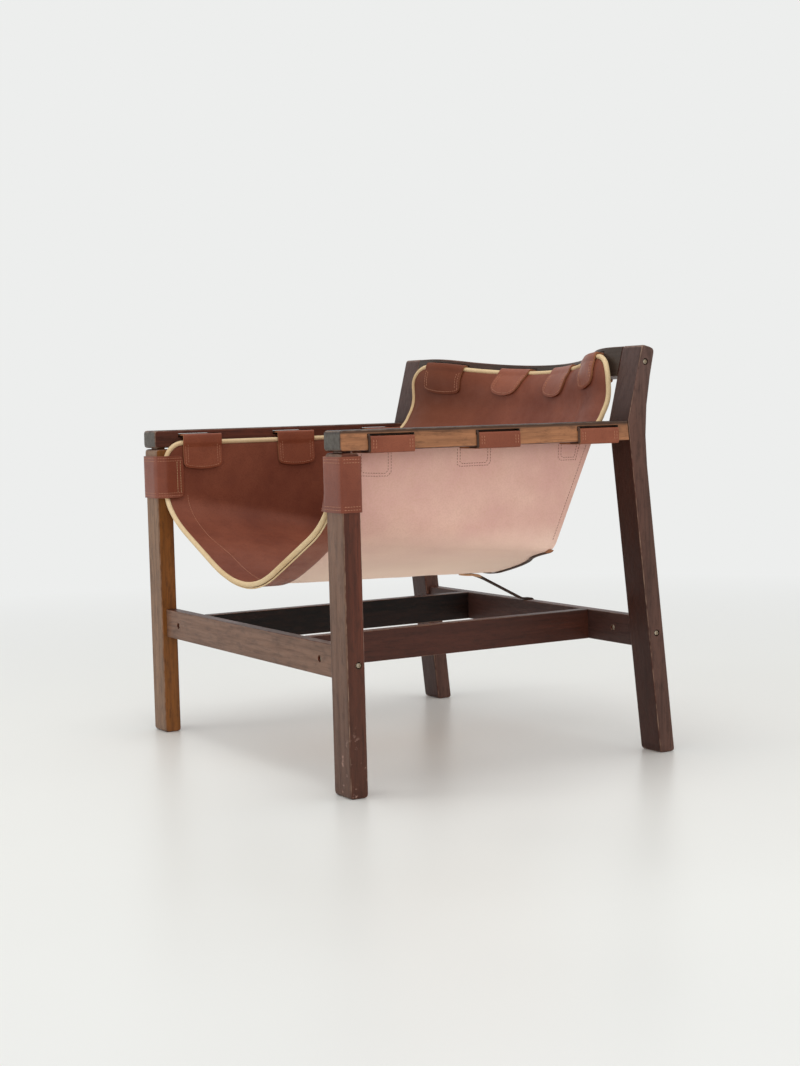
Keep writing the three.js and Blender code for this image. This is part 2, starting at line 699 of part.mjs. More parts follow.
// Arms: flat bars with a slot through them for each loop
function arm(side) {
  const outline = roundedOutline([
    [-ARM_OVERHANG, ARM_LOW, CORNER_ROUND],
    [rearLegFront(ARM_LOW) - FIT, ARM_LOW, 0],
    [KINK_Y - FIT, ARM_TOP, 0],
    [-ARM_OVERHANG, ARM_TOP, CORNER_ROUND],
  ]);
  const outer = Math.max(side * HALF_WIDTH, side * INNER_HALF);
  const bar = runAlongX(outline, outer - LEG_WIDTH, outer, EDGE_ROUND);
  const mortiseLow = at(-TENON_WIDTH / 2 - FIT, -TENON_DEPTH / 2 - FIT, -1);
  const mortiseHigh = at(TENON_WIDTH / 2 + FIT, TENON_DEPTH / 2 + FIT, TENON_HEIGHT + FIT);
  const cuts = [block(mortiseLow, mortiseHigh).translate(side * LEG_X, FRONT_LEG_DEPTH / 2, ARM_LOW)];
  const slotTop = ARM_TOP - SLOT_COVER;
  for (const y of armLoopPlaces()) {
    const low = at(outer - LEG_WIDTH - 1, y - STRAP_WIDTH / 2 - SLOT_SLACK, slotTop - SLOT_HEIGHT);
    const high = at(outer + 1, y + STRAP_WIDTH / 2 + FIT * 3, slotTop);
    cuts.push(block(low, high));
  }
  for (const shift of ARM_DOWEL_SHIFTS) cuts.push(armDowel(side, shift, FIT));
  return cut(bar, cuts);
}

// Front and rear stretchers, with mortises for the side rails on the faces that look at each other
function stretcher(joint, inward) {
  const { y, z } = JOINTS[joint];
  const low = [y - STRETCHER_THICK / 2, z - STRETCHER_HEIGHT / 2];
  const high = [y + STRETCHER_THICK / 2, z + STRETCHER_HEIGHT / 2];
  const end = INNER_HALF - FIT;
  const bar = runAlongX(roundedRectangle(low, high, STRETCHER_EDGE), -end, end);
  const cuts = beamCuts(joint);
  const face = y + inward * STRETCHER_THICK / 2;
  const foot = face - inward * (SIDE_TENON_LENGTH + FIT);
  const halfThick = SIDE_TENON_THICK / 2 + FIT;
  const halfHeight = SIDE_TENON_HEIGHT / 2 + FIT;
  for (const { side } of SIDES) {
    const x = side * SIDE_RAIL_X;
    const from = at(x - halfThick, Math.min(face + inward, foot), z - halfHeight);
    const to = at(x + halfThick, Math.max(face + inward, foot), z + halfHeight);
    cuts.push(block(from, to));
  }
  if (joint === 'rear') cuts.push(tieScrewHole());
  return cut(bar, cuts);
}

// Side rails between the stretchers, a tenon at each end
function sideRail(side) {
  const x = side * SIDE_RAIL_X;
  const front = FRONT_STRETCHER_Y + STRETCHER_THICK / 2 + FIT;
  const rear = REAR_STRETCHER_Y - STRETCHER_THICK / 2 - FIT;
  const half = STRETCHER_HEIGHT / 2;
  const low = [x - SIDE_RAIL_THICK / 2, STRETCHER_MID - half];
  const high = [x + SIDE_RAIL_THICK / 2, STRETCHER_MID + half];
  const bar = runAlongY(roundedRectangle(low, high, STRETCHER_EDGE), front, rear);
  const tenonLow = at(x - SIDE_TENON_THICK / 2, front - SIDE_TENON_LENGTH, STRETCHER_MID - SIDE_TENON_HEIGHT / 2);
  const tenonHigh = at(x + SIDE_TENON_THICK / 2, rear + SIDE_TENON_LENGTH, STRETCHER_MID + SIDE_TENON_HEIGHT / 2);
  return join(bar, block(tenonLow, tenonHigh));
}

// Where the loops stand along the back rail
function railLoopPlaces() {
  const first = -RAIL_LOOP_PITCH * (RAIL_LOOP_COUNT - 1) / 2;
  return Array.from({ length: RAIL_LOOP_COUNT }, (_, i) => first + i * RAIL_LOOP_PITCH);
}

// The back rail: a bar bent to the bow, slotted for the loops
function backRail() {
  const end = INNER_HALF - FIT;
  const outline = roundedRectangle([0, -RAIL_HEIGHT], [RAIL_THICK, 0], RAIL_EDGE);
  const bar = bendToRail(runAlongX(outline, -end, end, 0, RAIL_STEPS, 2));
  const cuts = beamCuts('rail');
  for (const x of railLoopPlaces()) {
    const half = STRAP_WIDTH / 2 + SLOT_SLACK / 2;
    const slot = roundedRectangle([-2, -SLOT_COVER - SLOT_HEIGHT], [RAIL_THICK + 2, -SLOT_COVER], 0);
    cuts.push(bendToRail(runAlongX(slot, x - half, x + half, 0, LOOP_STEPS)));
  }
  return cut(bar, cuts);
}

// A wedge that rounds off one corner of a tab, drawn around the corner's place
function cornerWedge(across, up, acrossSign, upSign, round) {
  const shape = new THREE.Shape();
  const over = -1;
  shape.moveTo(across + acrossSign * over, up + upSign * over);
  shape.lineTo(across + acrossSign * round, up + upSign * over);
  shape.lineTo(across + acrossSign * round, up);
  shape.quadraticCurveTo(across, up, across, up + upSign * round);
  shape.lineTo(across + acrossSign * over, up + upSign * round);
  shape.closePath();
  return shape;
}

// A loop round a beam, in the beam's own frame: x along it, y from its sling face, z below its top.
// It starts as a tab on the sling, goes through the slot, down the far face and back underneath.
function strapLoop({ thick, height, pipingDrop, tabDrop, tabLean, tuck, gap, slingOut, steps }) {
  const out = gap + STRAP_THICK / 2;
  const tabY = -(slingOut + SLING_THICK / 2 + out);
  const overPiping = -(slingOut + PIPING_R + out);
  const slotZ = -(SLOT_COVER + SLOT_HEIGHT) + STRAP_OUT;
  const under = -height - out;
  const far = thick + out;
  const corners = [
    [tabY - tabLean, -tabDrop],
    [tabY - tabLean / 4, -pipingDrop - PIPING_DIA],
    [overPiping, -pipingDrop],
    [overPiping, slotZ],
    [far, slotZ],
    [far, under],
    [-out, under],
    [-out, under + out + tuck],
  ].map(([y, z]) => new THREE.Vector2(y, z));
  const outline = stripOutline(softBends(corners, STRAP_BEND), STRAP_THICK);
  const half = STRAP_WIDTH / 2;
  const strap = runAlongX(outline, -half, half, 0, steps);
  const wedges = [-1, 1].map((edge) => {
    const shape = cornerWedge(edge * half, -tabDrop, -edge, 1, TAB_ROUND);
    const wedge = new THREE.ExtrudeGeometry(shape, { depth: 2 * thick, curveSegments: 4, bevelEnabled: false });
    return wedge.rotateX(Math.PI / 2).translate(0, thick, 0);
  });
  return cut(strap, wedges);
}

function armLoop(side, y, last) {
  const z = ARM_TOP - ARM_TAB_DROP;
  const lean = SLING_X - wallX(y + STRAP_WIDTH / 2, z) + FIT;
  const loop = strapLoop({
    thick: LEG_WIDTH,
    height: ARM_THICK,
    pipingDrop: ARM_THICK - ARM_PIPING_RISE,
    tabDrop: ARM_TAB_DROP,
    tabLean: lean,
    tuck: ARM_TUCK,
    gap: FIT,
    slingOut: SLING_OUT,
    steps: 1,
  });
  loop.rotateZ(-side * Math.PI / 2).translate(side * INNER_HALF, y, ARM_TOP);
  return last ? cut(loop, [seamTrim(side)]) : loop;
}

// The last tab on each arm is cut back along the rear seam, so that it lies on the seat alone
function seamTrim(side) {
  const low = ARM_TOP - ARM_TAB_DROP - 1;
  const high = RIM_Z + PIPING_OUT;
  const lowY = onBack(SLING_X, dropAtHeight(SLING_X, low)).y - SEAM_MARGIN - SLING_THICK;
  const highY = onBack(SLING_X, dropAtHeight(SLING_X, high)).y - SEAM_MARGIN - SLING_THICK;
  const shape = new THREE.Shape();
  shape.moveTo(lowY, low);
  shape.lineTo(lowY + STRAP_WIDTH, low);
  shape.lineTo(highY + STRAP_WIDTH, high);
  shape.lineTo(highY, high);
  shape.closePath();
  const inner = side * (INNER_HALF - LEG_WIDTH);
  const outer = side * (SLING_X - SLING_THICK / 2);
  return runAlongX(shape, Math.min(inner, outer), Math.max(inner, outer));
}

// Bands round the front legs that hold the seat's front corners
function legBand(side) {
  const tab = wallX(BAND_TAB_END, BAND_LOW) - SLING_THICK / 2 - STRAP_OUT;
  const overPiping = SLING_X - PIPING_R - STRAP_OUT;
  const pipingY = SEAT_FRONT_Y - PIPING_OUT;
  const front = -STRAP_OUT;
  const back = FRONT_LEG_DEPTH + STRAP_OUT;
  const inside = INNER_HALF - STRAP_OUT;
  const corners = [
    [tab, BAND_TAB_END],
    [tab, SEAT_FRONT_Y + 1.5 * PIPING_DIA],
    [overPiping, pipingY + PIPING_R],
    [overPiping, pipingY - PIPING_R],
    [inside, front],
    [HALF_WIDTH + STRAP_OUT, front],
    [HALF_WIDTH + STRAP_OUT, back],
    [inside, back],
    [inside, back - BAND_TUCK],
  ].map(([x, y]) => new THREE.Vector2(side * x, y));
  const outline = stripOutline(softBends(corners, STRAP_BEND), STRAP_THICK);
  const top = BAND_LOW + STRAP_WIDTH;
  const band = runUp(outline, BAND_LOW, top);
  const wedges = [[BAND_LOW, 1], [top, -1]].map(([z, up]) => {
    const shape = cornerWedge(BAND_TAB_END, z, -1, up, TAB_ROUND / 2);
    const inner = side * (tab - SLING_OUT);
    const outer = side * (SLING_X - SLING_THICK / 2);
    return runAlongX(shape, Math.min(inner, outer), Math.max(inner, outer));
  });
  return cut(band, wedges);
}

// Seat trough, its front hem and its piping
const SEAT_STATIONS = [0, 3, 9, 18, SEAT_CORNER];

function seatSling() {
  const grid = seatGrid(RIM, SEAT_STATIONS, SEAM_MARGIN);
  return leatherSheet(grid, -SLING_THICK / 2, SLING_THICK / 2);
}

function frontHem() {
  const high = -SLING_THICK / 2 - HEM_GAP;
  return leatherSheet(seatGrid(WALL_START - 1, [FIT, HEM_WIDTH / 2, HEM_WIDTH], 0), high - HEM_THICK, high);
}

function seatPiping() {
  const half = [];
  for (let i = 0; i <= WALL_START; i += 1) {
    half.push(onSeat(i, 0).add(at(0, -PIPING_OUT, 0)));
  }
  const turn = SEAT_CORNER + PIPING_OUT;
  for (let i = 0; i <= CORNER_STEPS; i += 1) {
    const angle = Math.PI / 2 * i / CORNER_STEPS;
    const y = SEAT_FRONT_Y + SEAT_CORNER - turn * Math.cos(angle);
    const z = RIM_Z - SEAT_CORNER + turn * Math.sin(angle);
    half.push(at(SLING_X, y, z));
  }
  for (const share of [0.35, 0.65, 0.97]) {
    half.push(onSeat(RIM, share).add(at(0, 0, PIPING_OUT)));
  }
  const mirrored = half.slice(1).map((p) => at(-p.x, p.y, p.z)).reverse();
  return pipingTube([...mirrored, ...half]);
}

// Back panel: its foot and lower sides lie inside the trough, its upper sides and top are free
const BACK_ROWS = 11;
const seamInset = SLING_THICK / 2 + SEAM_GAP;

function insetSeam(i) {
  const before = i === 0 ? new THREE.Vector2(-rearSection[1].x, rearSection[1].y) : rearSection[i - 1];
  const along = rearSection[i + 1].clone().sub(before).normalize();
  return new THREE.Vector2(rearSection[i].x - along.y * seamInset, rearSection[i].y + along.x * seamInset);
}

function backHalfWidth(z) {
  const foot = insetSeam(WALL_START);
  const rimX = SLING_X - seamInset;
  if (z <= foot.y) return foot.x;
  if (z <= RIM_Z) return THREE.MathUtils.mapLinear(z, foot.y, RIM_Z, foot.x, rimX);
  const rise = THREE.MathUtils.smoothstep(z, RIM_Z, RIM_Z + BACK_NECK);
  return THREE.MathUtils.lerp(rimX, BACK_EDGE_X, rise);
}

function backColumn(i) {
  const n = Math.abs(i);
  const side = i < 0 ? -1 : 1;
  const foot = insetSeam(n);
  const share = foot.x / insetSeam(WALL_START).x;
  const bottomDrop = dropAtHeight(foot.x, foot.y);
  const past = Math.max(share * BACK_EDGE_X - (BACK_EDGE_X - BACK_CORNER), 0);
  const topDrop = BACK_PIPING_DROP + BACK_PIPING_OUT + BACK_CORNER - Math.sqrt(BACK_CORNER ** 2 - past ** 2);
  const column = [];
  for (let row = 0; row <= BACK_ROWS; row += 1) {
    const drop = topDrop + (bottomDrop - topDrop) * row / BACK_ROWS;
    const z = onBack(foot.x, drop).z;
    const place = onBack(share * backHalfWidth(z), drop);
    place.x *= side;
    column.push(place);
  }
  return column;
}

function backSling() {
  const grid = [];
  for (let i = -WALL_START; i <= WALL_START; i += 1) grid.push(backColumn(i));
  return leatherSheet(grid, -SLING_THICK / 2, SLING_THICK / 2);
}

function backPiping() {
  const edge = BACK_EDGE_X + BACK_PIPING_OUT;
  const turn = BACK_CORNER + BACK_PIPING_OUT;
  const half = [];
  for (let i = 0; i < BACK_PIPING_TOP_STEPS; i += 1) {
    half.push(onBack((edge - turn) * i / BACK_PIPING_TOP_STEPS, BACK_PIPING_DROP));
  }
  for (let i = 0; i <= CORNER_STEPS; i += 1) {
    const angle = Math.PI / 2 * i / CORNER_STEPS;
    const x = edge - turn + turn * Math.sin(angle);
    half.push(onBack(x, BACK_PIPING_DROP + turn - turn * Math.cos(angle)));
  }
  const low = RIM_Z + PIPING_OUT + BACK_PIPING_CLEAR;
  const high = half[half.length - 1].z;
  for (let i = 1; i <= BACK_PIPING_SIDE_STEPS; i += 1) {
    const z = high + (low - high) * i / BACK_PIPING_SIDE_STEPS;
    const x = backHalfWidth(z) + BACK_PIPING_OUT;
    half.push(onBack(x, dropAtHeight(x, z)));
  }
  const mirrored = half.slice(1).map((p) => at(-p.x, p.y, p.z)).reverse();
  return pipingTube([...mirrored, ...half]);
}

// Tie strap: sewn under the seat's rear end, then over the rear stretcher and down its back face
const tieBack = REAR_STRETCHER_Y + STRETCHER_THICK / 2;
const tieTop = STRETCHER_MID + STRETCHER_HEIGHT / 2;
const tieOut = FIT + TIE_THICK / 2;

function tieStrap() {
  const seam = onSeat(0, 1);
  const sewn = onSeat(0, 1 - seatShare(0, TIE_SEWN));
  const under = SLING_THICK / 2 + tieOut;
  const corners = [
    [sewn.y, sewn.z - under - FIT],
    [sewn.y + TIE_SEWN / 3, sewn.z - under - FIT],
    [seam.y, seam.z - under - TIE_SAG],
    [tieBack - STRETCHER_THICK, tieTop + tieOut + FIT],
    [tieBack + tieOut, tieTop + tieOut],
    [tieBack + tieOut, tieTop - TIE_TAIL],
  ].map(([y, z]) => new THREE.Vector2(y, z));
  const outline = stripOutline(softBends(corners, STRAP_BEND), TIE_THICK);
  const strap = runAlongX(outline, -TIE_WIDTH / 2, TIE_WIDTH / 2);
  return cut(strap, [tieScrewHole()]);
}

function tieScrewAt(behind) {
  return at(0, tieBack + behind, tieTop - TIE_TAIL * 0.6);
}

function tieScrewHole() {
  return rod(SCREW_DIA + 2 * FIT, tieScrewAt(-SCREW_LENGTH), tieScrewAt(STRETCHER_THICK));
}

function turnedScrew(headDia, headHeight, dia, length, socketDia, socketDepth) {
  const profile = [
    [0, -length],
    [dia / 2, -length],
    [dia / 2, 0],
    [headDia / 2, 0],
    [headDia / 2, headHeight],
    [socketDia / 2, headHeight],
    [socketDia / 2, headHeight - socketDepth],
    [0, headHeight - socketDepth],
  ];
  return new THREE.LatheGeometry(profile.map(([x, y]) => new THREE.Vector2(x, y)), ROUND_SIDES);
}

function bolt(side, joint) {
  const seat = HALF_WIDTH - HEAD_HEIGHT - HEAD_SINK + FIT;
  const length = seat - (INNER_HALF - NUT_INSET - BOLT_PAST_NUT);
  const turned = turnedScrew(HEAD_DIA, HEAD_HEIGHT, BOLT_DIA, length, SOCKET_DIA, SOCKET_DEPTH);
  return turned.rotateZ(-side * Math.PI / 2).translate(side * seat, JOINTS[joint].y, JOINTS[joint].z);
}

function barrelNut(side, joint) {
  const { way, wall } = NUT_WAYS[joint];
  const middle = at(side * (INNER_HALF - NUT_INSET), JOINTS[joint].y, JOINTS[joint].z);
  const inner = middle.clone().addScaledVector(way, FIT - wall);
  const outer = inner.clone().addScaledVector(way, NUT_LENGTH);
  return cut(rod(NUT_DIA, inner, outer), [beamBore(side, JOINTS[joint].y, JOINTS[joint].z)]);
}

function tieScrew() {
  const turned = turnedScrew(
    SCREW_HEAD_DIA, SCREW_HEAD_HEIGHT, SCREW_DIA, SCREW_LENGTH, SCREW_DIA / 2, SCREW_HEAD_HEIGHT / 2);
  const seat = tieScrewAt(2 * FIT + TIE_THICK);
  return turned.translate(seat.x, seat.y, seat.z);
}

for (const { name, side } of SIDES) {
  addPiece(`front_leg_${name}`, frontLeg(side), ROSEWOOD);
  addPiece(`rear_leg_${name}`, rearLeg(side), ROSEWOOD);
  addPiece(`arm_${name}`, arm(side), ROSEWOOD);
  addPiece(`side_rail_${name}`, sideRail(side), ROSEWOOD);
  addPiece(`leg_band_${name}`, legBand(side), STRAP_LEATHER);
  armLoopPlaces().forEach((y, i) => {
    addPiece(`arm_loop_${name}_${i + 1}`, armLoop(side, y, i === ARM_LOOP_COUNT - 1), STRAP_LEATHER);
  });
  for (const joint of Object.keys(JOINTS)) {
    addPiece(`bolt_${joint}_${name}`, bolt(side, joint), STEEL);
    addPiece(`barrel_nut_${joint}_${name}`, barrelNut(side, joint), STEEL);
    addPiece(`dowel_${joint}_${name}`, sideDowel(side, DOWELS[joint].y, DOWELS[joint].z, 0), BEECH);
  }
  ARM_DOWEL_SHIFTS.forEach((shift, i) => {
    addPiece(`dowel_arm_${name}_${i + 1}`, armDowel(side, shift, 0), BEECH);
  });
}

addPiece('front_stretcher', stretcher('front', 1), ROSEWOOD);
addPiece('rear_stretcher', stretcher('rear', -1), ROSEWOOD);
addPiece('back_rail', backRail(), ROSEWOOD);
railLoopPlaces().forEach((x, i) => {
  const loop = strapLoop({
    thick: RAIL_THICK,
    height: RAIL_HEIGHT,
    pipingDrop: BACK_PIPING_DROP,
    tabDrop: RAIL_TAB_DROP,
    tabLean: 0,
    tuck: RAIL_TUCK,
    gap: RAIL_FIT,
    slingOut: BACK_OUT,
    steps: LOOP_STEPS,
  });
  addPiece(`back_loop_${i + 1}`, bendToRail(loop.translate(x, 0, 0)), STRAP_LEATHER);
});
addPiece('seat_sling', seatSling(), LEATHER);
addPiece('front_hem', frontHem(), LEATHER);
addPiece('seat_piping', seatPiping(), CREAM_LEATHER);
addPiece('back_sling', backSling(), LEATHER);
addPiece('back_piping', backPiping(), CREAM_LEATHER);
addPiece('tie_strap', tieStrap(), STRAP_LEATHER);
addPiece('tie_screw', tieScrew(), STEEL);

const extent = new THREE.Box3().setFromObject(chair);
const middle = extent.getCenter(new THREE.Vector3());
chair.position.set(-middle.x, -middle.y, -extent.min.z);

export default chair;
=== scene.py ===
# %% [markdown]
# # A leather sling lounge chair
#
# The chair is a bolted frame of dark hardwood with thick saddle leather hung in it. The seat is
# one hide bent into a trough, the back is a second hide hung on a bowed rail, and both hang by
# sewn strap loops that pass through slots in the wood. The solid parts come from the CAD model
# and stay where they are. This lesson gives each of them its looks, and makes the leather as
# thin, softly bent sheets.

# %% Load the fixed frame
import functools
import math

import bmesh
import bpy
from mathutils import Matrix, Vector, noise


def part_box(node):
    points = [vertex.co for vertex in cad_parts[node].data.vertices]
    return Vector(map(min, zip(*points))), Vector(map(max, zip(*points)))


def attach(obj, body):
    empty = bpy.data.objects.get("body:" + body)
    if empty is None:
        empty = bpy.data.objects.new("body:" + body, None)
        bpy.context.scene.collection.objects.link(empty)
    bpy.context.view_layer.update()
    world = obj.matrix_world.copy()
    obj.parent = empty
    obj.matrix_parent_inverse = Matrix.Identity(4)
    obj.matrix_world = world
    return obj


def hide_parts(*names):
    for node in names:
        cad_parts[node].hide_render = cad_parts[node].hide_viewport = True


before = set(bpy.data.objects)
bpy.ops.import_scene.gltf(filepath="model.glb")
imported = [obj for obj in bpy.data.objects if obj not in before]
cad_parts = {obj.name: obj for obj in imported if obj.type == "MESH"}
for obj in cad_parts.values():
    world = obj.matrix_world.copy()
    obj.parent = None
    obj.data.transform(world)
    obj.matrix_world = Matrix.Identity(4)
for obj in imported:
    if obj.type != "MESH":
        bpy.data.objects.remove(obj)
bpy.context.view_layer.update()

# %% [markdown]
# ## Where the camera stands
#
# The frame's straight edges in the photograph fix the camera: a long lens, a little above the
# arms, looking at the sitter's left front corner. Distances are taken from the front face of
# the front legs, in millimetres, which is how the chair was drawn.

# %% Camera
FRONT_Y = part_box("front_leg_left")[0].y * 1000
CAMERA_PLACE = (2551.5, -1193.9, 557)
AZIMUTH = math.radians(59.64)
ELEVATION = math.radians(4.11)
ROLL = math.radians(-1.51)
SENSOR_HEIGHT = 36
FOCAL_LENGTH = 60.405


def row(x, y, z):
    """A place given in millimetres from the front legs, in the scene's metres."""
    return Vector((x, y + FRONT_Y, z)) / 1000


backward = Vector((
    math.sin(AZIMUTH) * math.cos(ELEVATION),
    -math.cos(AZIMUTH) * math.cos(ELEVATION),
    math.sin(ELEVATION),
))
right = Vector((math.cos(AZIMUTH), math.sin(AZIMUTH), 0))
up = backward.cross(right)
tilted_right = right * math.cos(ROLL) + up * math.sin(ROLL)
tilted_up = up * math.cos(ROLL) - right * math.sin(ROLL)
turn = Matrix((tilted_right, tilted_up, backward)).transposed().to_4x4()

lens = bpy.data.cameras.new("photo_camera")
lens.sensor_fit = "VERTICAL"
lens.sensor_height = SENSOR_HEIGHT
lens.lens = FOCAL_LENGTH
camera = bpy.data.objects.new("photo_camera", lens)
camera.matrix_world = Matrix.Translation(row(*CAMERA_PLACE)) @ turn
bpy.context.scene.collection.objects.link(camera)
bpy.context.scene.camera = camera
print("camera at", camera.location)

# %% [markdown]
# ## A way to build finishes
#
# A real surface is never one flat colour. Each finish here is a small node network that starts
# from a place on the piece, makes noise from it, and turns the noise into colour, gloss and
# fine relief. The class below only shortens the wiring.

# %% Finish helper
def srgb(red, green, blue):
    """A colour as seen on screen, 0 to 255, in the linear values that shaders use."""
    def linear(level):
        share = level / 255
        return share / 12.92 if share <= 0.04045 else ((share + 0.055) / 1.055) ** 2.4
    return (linear(red), linear(green), linear(blue), 1)


class Finish:
    """A node material, wired step by step."""

    def __init__(self, name):
        self.material = bpy.data.materials.new(name)
        self.material.use_nodes = True
        self.nodes = self.material.node_tree.nodes
        self.links = self.material.node_tree.links
        self.shader = self.nodes["Principled BSDF"]

    def feed(self, socket, value):
        if isinstance(value, bpy.types.NodeSocket):
            self.links.new(value, socket)
        else:
            socket.default_value = value

    def place(self, stretch=(1, 1, 1)):
        """Places on the piece in metres, stretched along its axes."""
        mapping = self.nodes.new("ShaderNodeMapping")
        mapping.inputs["Scale"].default_value = stretch
        coordinates = self.nodes.new("ShaderNodeTexCoord")
        self.links.new(coordinates.outputs["Object"], mapping.inputs["Vector"])
        return mapping.outputs["Vector"]

    def measure(self, axis):
        """The place on the piece along one axis, in metres."""
        split = self.nodes.new("ShaderNodeSeparateXYZ")
        self.links.new(self.place(), split.inputs["Vector"])
        return split.outputs[axis]

    def noise(self, place, scale, detail=3, roughness=0.55):
        made = self.nodes.new("ShaderNodeTexNoise")
        self.feed(made.inputs["Vector"], place)
        made.inputs["Scale"].default_value = scale
        made.inputs["Detail"].default_value = detail
        made.inputs["Roughness"].default_value = roughness
        return made.outputs["Fac"]

    def cells(self, place, scale):
        made = self.nodes.new("ShaderNodeTexVoronoi")
        self.feed(made.inputs["Vector"], place)
        made.inputs["Scale"].default_value = scale
        return made.outputs["Distance"]

    def band(self, value, low, high, start=0.0, end=1.0):
        """Carries a value from between low and high to between start and end."""
        made = self.nodes.new("ShaderNodeMapRange")
        for name, level in (("From Min", low), ("From Max", high), ("To Min", start), ("To Max", end)):
            made.inputs[name].default_value = level
        self.feed(made.inputs["Value"], value)
        return made.outputs["Result"]

    def maths(self, kind, first, second):
        made = self.nodes.new("ShaderNodeMath")
        made.operation = kind
        self.feed(made.inputs[0], first)
        self.feed(made.inputs[1], second)
        return made.outputs["Value"]

    def mix(self, share, first, second):
        made = self.nodes.new("ShaderNodeMix")
        made.data_type = "RGBA"
        self.feed(made.inputs["Factor"], share)
        self.feed(made.inputs[6], first)
        self.feed(made.inputs[7], second)
        return made.outputs[2]

    def facing(self, direction):
        """How far a face looks along a direction: 1 along it, 0 beside it, -1 against it."""
        made = self.nodes.new("ShaderNodeVectorMath")
        made.operation = "DOT_PRODUCT"
        surface = self.nodes.new("ShaderNodeNewGeometry")
        self.links.new(surface.outputs["Normal"], made.inputs[0])
        made.inputs[1].default_value = direction
        return made.outputs["Value"]

    def done(self, colour, roughness, relief, depth):
        """Joins colour, gloss and relief to the shader. depth is the relief's height in metres."""
        self.feed(self.shader.inputs["Base Color"], colour)
        self.feed(self.shader.inputs["Roughness"], roughness)
        bump = self.nodes.new("ShaderNodeBump")
        bump.inputs["Strength"].default_value = 1
        bump.inputs["Distance"].default_value = depth
        self.links.new(relief, bump.inputs["Height"])
        self.links.new(bump.outputs["Normal"], self.shader.inputs["Normal"])
        return self.material


def speckled(name, scale, detail, colours, gloss, depth, stretch=(1, 1, 1), spread=(0, 1)):
    """A plain finish: one noise leads from the first colour to the second, and gives gloss and relief."""
    finish = Finish(name)
    speck = finish.noise(finish.place(stretch), scale, detail)
    colour = finish.mix(finish.band(speck, *spread), *colours)
    finish.done(colour, finish.band(speck, 0.3, 0.7, *gloss), speck, depth)
    return finish


print("finish steps:", [step for step in vars(Finish) if not step.startswith("_")])

# %% [markdown]
# ## The room
#
# The chair stands on a pale painted floor in a white room. The floor has a satin gloss, so it
# keeps a soft shadow and a faint image of the feet, and it fades into the white of the room.
# Light comes from all round, with a soft light above and a window before and beside it. A weak
# panel under the seat stands in for the light that the white floor of the room throws upwards.

# %% Floor and light
FLOOR_REACH = 9
HAZE_START, HAZE_END = 0.9, 2.8
ROOM_WHITE = srgb(237, 238, 237)
SKY_TINT = (0.97, 0.99, 1, 1)
SKY_STRENGTH = 0.72
CHAIR_MIDDLE = (0, 0, 0.4)
CHAIR_FOOT = (0, 0, 0)
ABOVE_GLOW = (0.12, 0, 1)


def seen_rays(nodes, links):
    """1 for rays that show the room itself: straight from the camera, mirrored or through glass."""
    path = nodes.new("ShaderNodeLightPath")
    seen = path.outputs["Is Camera Ray"]
    for kind in ("Is Glossy Ray", "Is Transmission Ray"):
        either = nodes.new("ShaderNodeMath")
        either.operation = "MAXIMUM"
        links.new(seen, either.inputs[0])
        links.new(path.outputs[kind], either.inputs[1])
        seen = either.outputs["Value"]
    return seen


painted = Finish("painted_floor")
drift = painted.noise(painted.place(), 1.3, 2)
floor_colour = painted.mix(drift, srgb(229, 228, 223), srgb(237, 236, 231))
floor_gloss = painted.band(drift, 0.3, 0.7, 0.3, 0.38)
floor_finish = painted.done(floor_colour, floor_gloss, painted.noise(painted.place(), 60), 0.0001)
distance = painted.nodes.new("ShaderNodeVectorMath")
distance.operation = "LENGTH"
painted.links.new(painted.place(), distance.inputs[0])
haze = painted.nodes.new("ShaderNodeEmission")
haze.inputs["Color"].default_value = ROOM_WHITE
fading = painted.nodes.new("ShaderNodeMixShader")
far_off = painted.band(distance.outputs["Value"], HAZE_START, HAZE_END)
hazy = painted.maths("MULTIPLY", far_off, seen_rays(painted.nodes, painted.links))
painted.links.new(hazy, fading.inputs["Fac"])
painted.links.new(painted.shader.outputs["BSDF"], fading.inputs[1])
painted.links.new(haze.outputs["Emission"], fading.inputs[2])
painted.links.new(fading.outputs["Shader"], painted.nodes["Material Output"].inputs["Surface"])

sheet = bmesh.new()
bmesh.ops.create_grid(sheet, x_segments=1, y_segments=1, size=FLOOR_REACH)
floor_mesh = bpy.data.meshes.new("floor")
sheet.to_mesh(floor_mesh)
sheet.free()
floor_mesh.materials.append(floor_finish)
floor = bpy.data.objects.new("floor", floor_mesh)
bpy.context.scene.collection.objects.link(floor)

world = bpy.data.worlds.new("white_room")
world.use_nodes = True
bpy.context.scene.world = world
room_nodes = world.node_tree.nodes
room_links = world.node_tree.links
room_light = room_nodes["Background"]
room_light.inputs["Color"].default_value = SKY_TINT
room_light.inputs["Strength"].default_value = SKY_STRENGTH
seen = room_nodes.new("ShaderNodeBackground")
seen.inputs["Color"].default_value = ROOM_WHITE
seen.inputs["Strength"].default_value = 1
choice = room_nodes.new("ShaderNodeMixShader")
room_links.new(seen_rays(room_nodes, room_links), choice.inputs["Fac"])
room_links.new(room_light.outputs["Background"], choice.inputs[1])
room_links.new(seen.outputs["Background"], choice.inputs[2])
room_links.new(choice.outputs["Shader"], room_nodes["World Output"].inputs["Surface"])


def soft_window(name, place, target, size, power, mirrored):
    """A square light at a place in metres that looks at a target, and may show in glossy things."""
    light = bpy.data.lights.new(name, "AREA")
    light.shape = "SQUARE"
    light.size = size
    light.energy = power
    lamp = bpy.data.objects.new(name, light)
    lamp.location = place
    lamp.rotation_euler = (Vector(target) - Vector(place)).to_track_quat("-Z", "Y").to_euler()
    lamp.visible_camera = False
    lamp.visible_glossy = mirrored
    bpy.context.scene.collection.objects.link(lamp)


